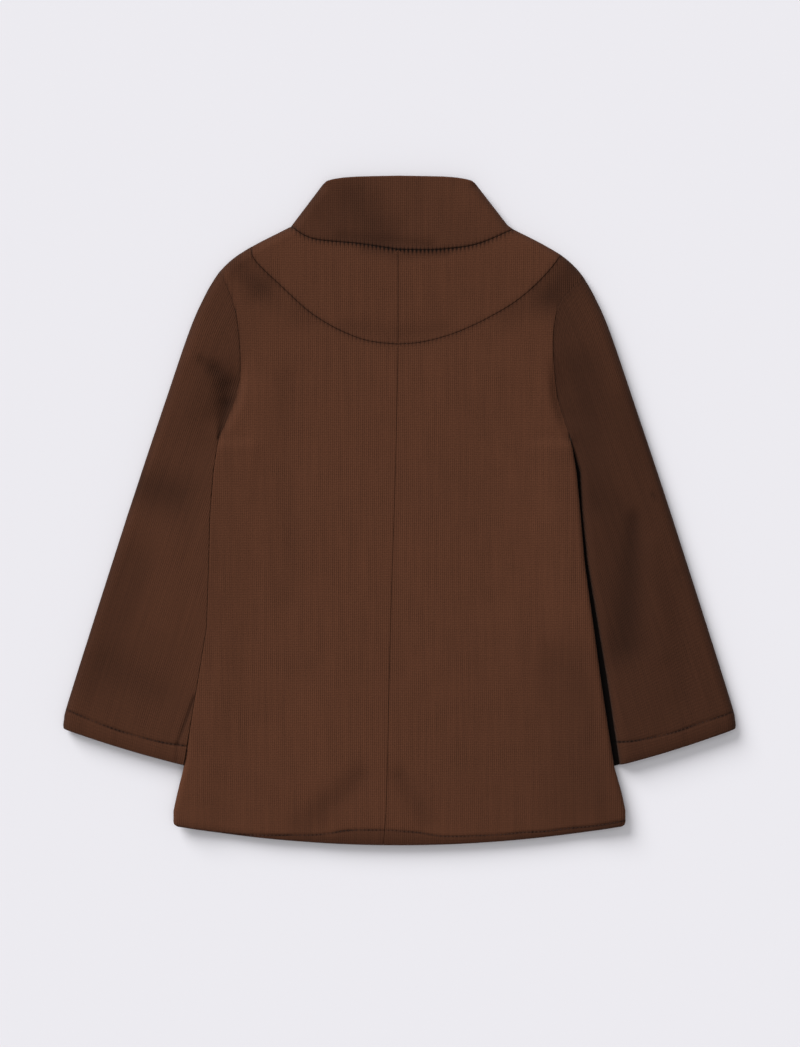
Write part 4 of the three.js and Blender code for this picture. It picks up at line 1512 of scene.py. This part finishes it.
@dataclass
class Sleeves:
    """The two set-in sleeves.

    Attributes:
        room: finishes the pieces.
        halves: the two sides of the coat.
        painted_sleeve_tones: brightness of each sleeve, lower than the back's as painted shade.
        ribs: how clearly their ribs show.
    """

    room: Workroom
    halves: list[Half]
    painted_sleeve_tones: dict[Side, float] = field(default_factory=lambda: {Side.LEFT: 0.755, Side.RIGHT: 0.57})
    ribs: float = 0.7

    def build(self) -> None:
        """Makes the sleeve of each side."""
        for half in self.halves:
            self.sleeve(half)

    def shares_across(self, half: Half, f: Array) -> Array:
        """Places of the columns across the sleeve, closest together at the edge that shows.

        The share that is tucked under the side fold is found in a few rounds, each of which takes off the
        distance still left to the edge.

        Args:
            half: its side of the coat.
            f: share of the sleeve's length at each section.

        Returns:
            For each section, shares of the way from the outer fold to the inner one.
        """
        outer = along(half.outline_between(half.armhole[0, 0], 1.0), f)
        inner = along(half.sleeve_fold, f)
        width = np.linalg.norm(outer - inner, axis=-1)
        tucked = np.zeros(len(f))
        for _ in range(EDGE_ROUNDS):
            tucked = tucked - half.past_edge(lerp(inner, outer, tucked[:, None])) / width
        edge = 1 - np.maximum(tucked, LEAST_TUCKED)[:, None]
        seen = dense_ends(SEEN_COLUMNS, FOLD_DENSITY)
        hidden = dense_ends(SLEEVE_GRID[1] - SEEN_COLUMNS + 1)
        return np.concatenate([edge * seen[None, :-1], edge + (1 - edge) * hidden[None]], axis=1)

    def layer_plan(self, half: Half, armhole: Array, f: Array, across: Array) -> Array:
        """Plan of one layer of a sleeve.

        Each section runs straight from the outer fold to the inner one; the first has the armhole's curve,
        which fades out along the sleeve, and the last bulges a little to the cuff.

        Args:
            half: the side of the coat.
            armhole: the seam of this layer.
            f: share of the sleeve's length at each section.
            across: share of the way from the outer fold at each point.

        Returns:
            Rows of points.
        """
        outer = along(half.outline_between(half.armhole[0, 0], 1.0), f)[:, None]
        inner = along(half.sleeve_fold, f)[:, None]
        share, down = across[..., None], f[:, None, None]
        bulge = along(armhole, across) - lerp(armhole[0], armhole[-1], share)
        keeps = np.maximum(0, 1 - down / lerp(ARMHOLE_REACH, UNDERARM_REACH, share)) ** 2
        plan = lerp(outer, inner, share) + bulge * keeps
        plan[..., 1] -= CUFF_BOW * smoothstep(f, CUFF_START, 1)[:, None] * np.sin(np.pi * across)
        return plan

    def sleeve(self, half: Half) -> None:
        """Sleeve: rings from the armhole to the cuff, from the outer fold to the inner one and back.

        Args:
            half: its side of the coat.
        """
        name = f"sleeve_{half.side.word}"
        f = dense_ends(SLEEVE_GRID[0])
        across = self.shares_across(half, f)
        length = run_of(half.sleeve_fold)[-1]
        shells = []
        for layer, armhole in ((Layer.TOP, half.armhole), (Layer.BOTTOM, half.front_armhole)):
            plan = self.layer_plan(half, armhole, f, across)
            cuff = plan[-1]
            seams = [Seam(armhole, roll=0.18, dark=0.16, pull=0.1), Seam(cuff, roll=0.9, is_sewn=False)]
            plan = drawn_back(plan, seams[:1])
            middle = np.array([half.side.value * MIDDLE_OF_SLEEVE, 0])
            fold = nearest([half.outer_fold, half.sleeve_fold], plan, middle)
            width = np.linalg.norm(plan[:, :1] - plan[:, -1:], axis=-1)
            from_cuff = (1 - f[:, None]) * length
            least = LEAST_FROM_FOLD * np.minimum(across, 1 - across) * width
            fold = Near(np.maximum(fold.distance, least), fold.inward)
            wall = hemmed_at(from_cuff) + 0 * fold.distance
            stitch = stitch_offset(CUFF_STITCHING[half.side], plan)
            sunk = STITCH_SINK * bell(stitch, STITCH_WIDTH) * (layer is Layer.TOP)
            dropped = BAND_DROP * np.maximum(0, 1 - from_cuff / BAND_WIDTH) ** 2
            top = half.sleeve_top(name, plan) - sunk - dropped
            outline = distance_to(half.outer_fold, plan)
            cloth = Cloth(name, plan, top, 0 * top, layer, fold, wall, seams, outline, ribs=self.ribs)
            rib = outline * layer.value
            weave = np.stack([rib, f[:, None] * length + 0 * rib], axis=-1)
            # The sleeve's tone is painted shade, and past the edge beside the side fold its colour is
            # darkened as painted shade of the gap.
            shells.append((plan, cloth.shell(weave, self.painted_sleeve_tones[half.side], stitch, half.painted_gap_mask_at(plan))))
        (plan, upper), (_, lower) = shells
        ring = Shell(
            *(np.concatenate([getattr(upper, key), getattr(lower, key)[:, -2:0:-1]], axis=1)
              for key in SHELL_GRIDS),
            is_tube=True,
        )
        self.room.finish(ring, name, plan, ["floor"], layers=2, stitches=self.cuff_row(half, name))

    def cuff_row(self, half: Half, name: str) -> bpy.types.Object:
        """Stitches of one cuff, on the sleeve's upper face.

        Args:
            half: its side of the coat.
            name: of the sleeve.

        Returns:
            The row of stitches.
        """
        line = curve(CUFF_STITCHING[half.side])
        distance = np.abs(line[:, 0])
        inner = np.abs(np.interp(line[:, 1], half.sleeve_fold[::-1, 1], half.sleeve_fold[::-1, 0]))
        line = line[(distance > inner + CUFF_ROW_FROM_SIDE) & (distance < CUFF_ROW_END)]
        return Stitching().row(f"cuff_stitches_{half.side.word}", line,
                               lambda p: half.sleeve_top(name, p) - STITCH_SINK)


@dataclass
class Collar:
    """Stand collar, one strip from its right front end round the back to its left front end.

    Attributes:
        room: finishes the pieces.
        halves: the two sides of the coat.
        tone: its brightness, lower than the back's as painted shade.
    """

    room: Workroom
    halves: list[Half]
    tone: float = 0.84

    def part(self, half: Half, layer: Layer) -> tuple[Array, Shell]:
        """One quarter of the collar, from the centre out.

        Args:
            half: its side of the coat.
            layer: its back or its front.

        Returns:
            Its plan and its shell.
        """
        v, u = dense_ends(COLLAR_GRID[0]), dense_ends(COLLAR_GRID[1], COLLAR_DENSITY)
        side = millimetres(COLLAR_SIDE[half.side])
        edge = along(side, v)
        end = edge[-1].copy()

        def front_top_at(x: Array) -> Array:
            """Top edge of the front, turned down at its ends."""
            return lerp(COLLAR_FRONT_TOP, end[1], np.abs(x / end[0]) ** COLLAR_FRONT_POWER)

        if layer is Layer.TOP:
            low = along(half.neck, u)
            high = along(curve(COLLAR_EDGE) * (half.side.value, 1), u)
        else:
            low = half.front_neck(u)
            x = lerp(half.strip_x, end[0], u)
            high = np.stack([x, front_top_at(x)], axis=-1)
        plan = blended(low, high, lerp(low[0], high[0], v[:, None]), edge, u, v)
        if layer is Layer.BOTTOM:
            plan = half.with_strip(plan, v, front_neck_at, front_top_at)
            low, high = plan[0], plan[-1]
        seams = [
            Seam(low.copy(), roll=0.5, dark=0.7, pull=0.5, fade=0.55),
            Seam(high.copy(), roll=0.9, dark=0.08, is_sewn=False),
        ]
        plan = drawn_back(plan, seams)
        inside = np.stack([0 * plan[..., 0], plan[..., 1] - BELOW], axis=-1)
        fold = nearest([side], plan, inside)
        is_top = layer is Layer.TOP
        bottom = 0 * plan[..., 0] if is_top else half.front_step(plan[..., 0], COLLAR_CLOTH)
        top = loft_at(plan[..., 1]) - creases_at("collar" if is_top else "", plan)[0]
        cloth = Cloth("collar" if is_top else "collar_front", plan, top, bottom, layer, fold,
                      np.full(top.shape, COLLAR_CLOTH), seams, fold.distance)
        return plan, cloth.shell(plan, self.tone)

    def build(self) -> None:
        """Joins the four parts into one strip."""
        left, right = self.halves
        front_right, back_right = self.part(right, Layer.BOTTOM), self.part(right, Layer.TOP)
        back_left, front_left = self.part(left, Layer.TOP), self.part(left, Layer.BOTTOM)

        def joined(key: str) -> Array:
            """One of the shells' grids, all along the strip."""
            return np.concatenate([
                getattr(front_right[1], key), getattr(back_right[1], key)[:, -2:0:-1],
                getattr(back_left[1], key)[:, :-1], getattr(front_left[1], key)[:, ::-1],
            ], axis=1)

        strip = Shell(*(joined(key) for key in SHELL_GRIDS))
        parts = (front_right, back_right, back_left, front_left)
        length = sum(float(run_of(plan[CUT_ROW])[-1]) for plan, _ in parts)
        flat = np.array([[[0, 0], [length, 0]], [[0, COLLAR_CUT], [length, COLLAR_CUT]]])
        self.room.finish(strip, "collar", flat, ["front_left", "front_right"])


@dataclass(frozen=True)
class Studio:
    """Pale table, soft light from the upper left, and the camera straight above.

    Attributes:
        middle: place under the camera.
        shown_height: height of the frame at the cloth.
        lens: focal length in millimetres.
        film: longer side of the film in millimetres.
        cloth_height: of the coat's upper side above the table.
        clip_end: farthest distance that the camera sees.
        table: colour of the table, linear.
        table_size: half its width.
        table_drop: how far it lies below the coat, so that the two don't share a plane.
        table_roughness: of its surface.
        table_specular: how much it reflects.
        key_strength: of the main light.
        key_from: direction that it comes from.
        key_angle: its width in degrees.
        overhead_strength: of the light from above.
        overhead_angle: its width in degrees.
        world_strength: of the light from all round.
    """

    middle: Place = (0.4 * MM, -9.8 * MM)
    shown_height: float = 809 * MM
    lens: float = 85.0
    film: float = 36.0
    cloth_height: float = 10 * MM
    clip_end: float = 20.0
    table: Colour = (0.762, 0.752, 0.79)
    table_size: float = 12.0
    table_drop: float = 0.05 * MM
    table_roughness: float = 0.9
    table_specular: float = 0.1
    key_strength: float = 3.3
    key_from: tuple[float, float, float] = (-0.62, 0.78, 0.6)
    key_angle: float = 35.0
    overhead_strength: float = 0.82
    overhead_angle: float = 60.0
    world_strength: float = 0.30

    def camera(self) -> None:
        """Camera whose frame is as high as the photograph's at the cloth's height."""
        data = bpy.data.cameras.new("camera")
        data.lens = self.lens
        data.sensor_width = self.film
        data.sensor_fit = "AUTO"
        data.clip_end = self.clip_end
        camera = linked("camera", data)
        distance = self.shown_height * self.lens / self.film
        camera.location = (*self.middle, self.cloth_height + distance)
        bpy.context.scene.camera = camera

    def floor(self) -> None:
        """Plain table under the coat."""
        mesh = bpy.data.meshes.new("floor")
        size, z = self.table_size, -self.table_drop
        corners = [(-size, -size, z), (size, -size, z), (size, size, z), (-size, size, z)]
        mesh.from_pydata(corners, [], [(0, 1, 2, 3)])
        material = bpy.data.materials.new("table")
        Nodes(material).finish(
            Base_Color=(*self.table, 1.0), Roughness=self.table_roughness,
            Specular_IOR_Level=self.table_specular,
        )
        mesh.materials.append(material)
        linked("floor", mesh)

    def sun(self, name: str, direction: tuple[float, float, float], strength: float, angle: float) -> None:
        """Even light from one direction.

        Args:
            name: of the light.
            direction: towards it.
            strength: of the light.
            angle: its width in degrees; a wider one is softer.
        """
        data = bpy.data.lights.new(name, "SUN")
        data.energy = strength
        data.angle = math.radians(angle)
        light = linked(name, data)
        tilt = math.atan2(math.hypot(direction[0], direction[1]), direction[2])
        turn = math.atan2(direction[1], direction[0])
        light.rotation_euler = (0, tilt, turn)

    def build(self) -> None:
        """Sets the table, the lights, the world and the view transform."""
        self.floor()
        self.sun("key", self.key_from, self.key_strength, self.key_angle)
        self.sun("overhead", (0.0, 0.0, 1.0), self.overhead_strength, self.overhead_angle)
        world = bpy.data.worlds.new("studio")
        bpy.context.scene.world = world
        world.use_nodes = True
        background = world.node_tree.nodes["Background"]
        background.inputs["Color"].default_value = (1.0, 1.0, 1.0, 1.0)
        background.inputs["Strength"].default_value = self.world_strength
        bpy.context.scene.view_settings.view_transform = "Standard"
        bpy.context.scene.view_settings.look = "None"


def main() -> None:
    """Builds the scene piece by piece."""
    logging.basicConfig(level=logging.INFO, format="%(name)s: %(message)s")
    studio = Studio()
    studio.camera()
    studio.build()
    halves = [Half(Side.LEFT), Half(Side.RIGHT)]
    room = Workroom(RibJersey().material(), Thread().material())
    BodyPanels(room, halves).build()
    Sleeves(room, halves).build()
    Collar(room, halves).build()
    log.info("%d cloth pieces", len(room.made))


if __name__ == "__main__":
    main()
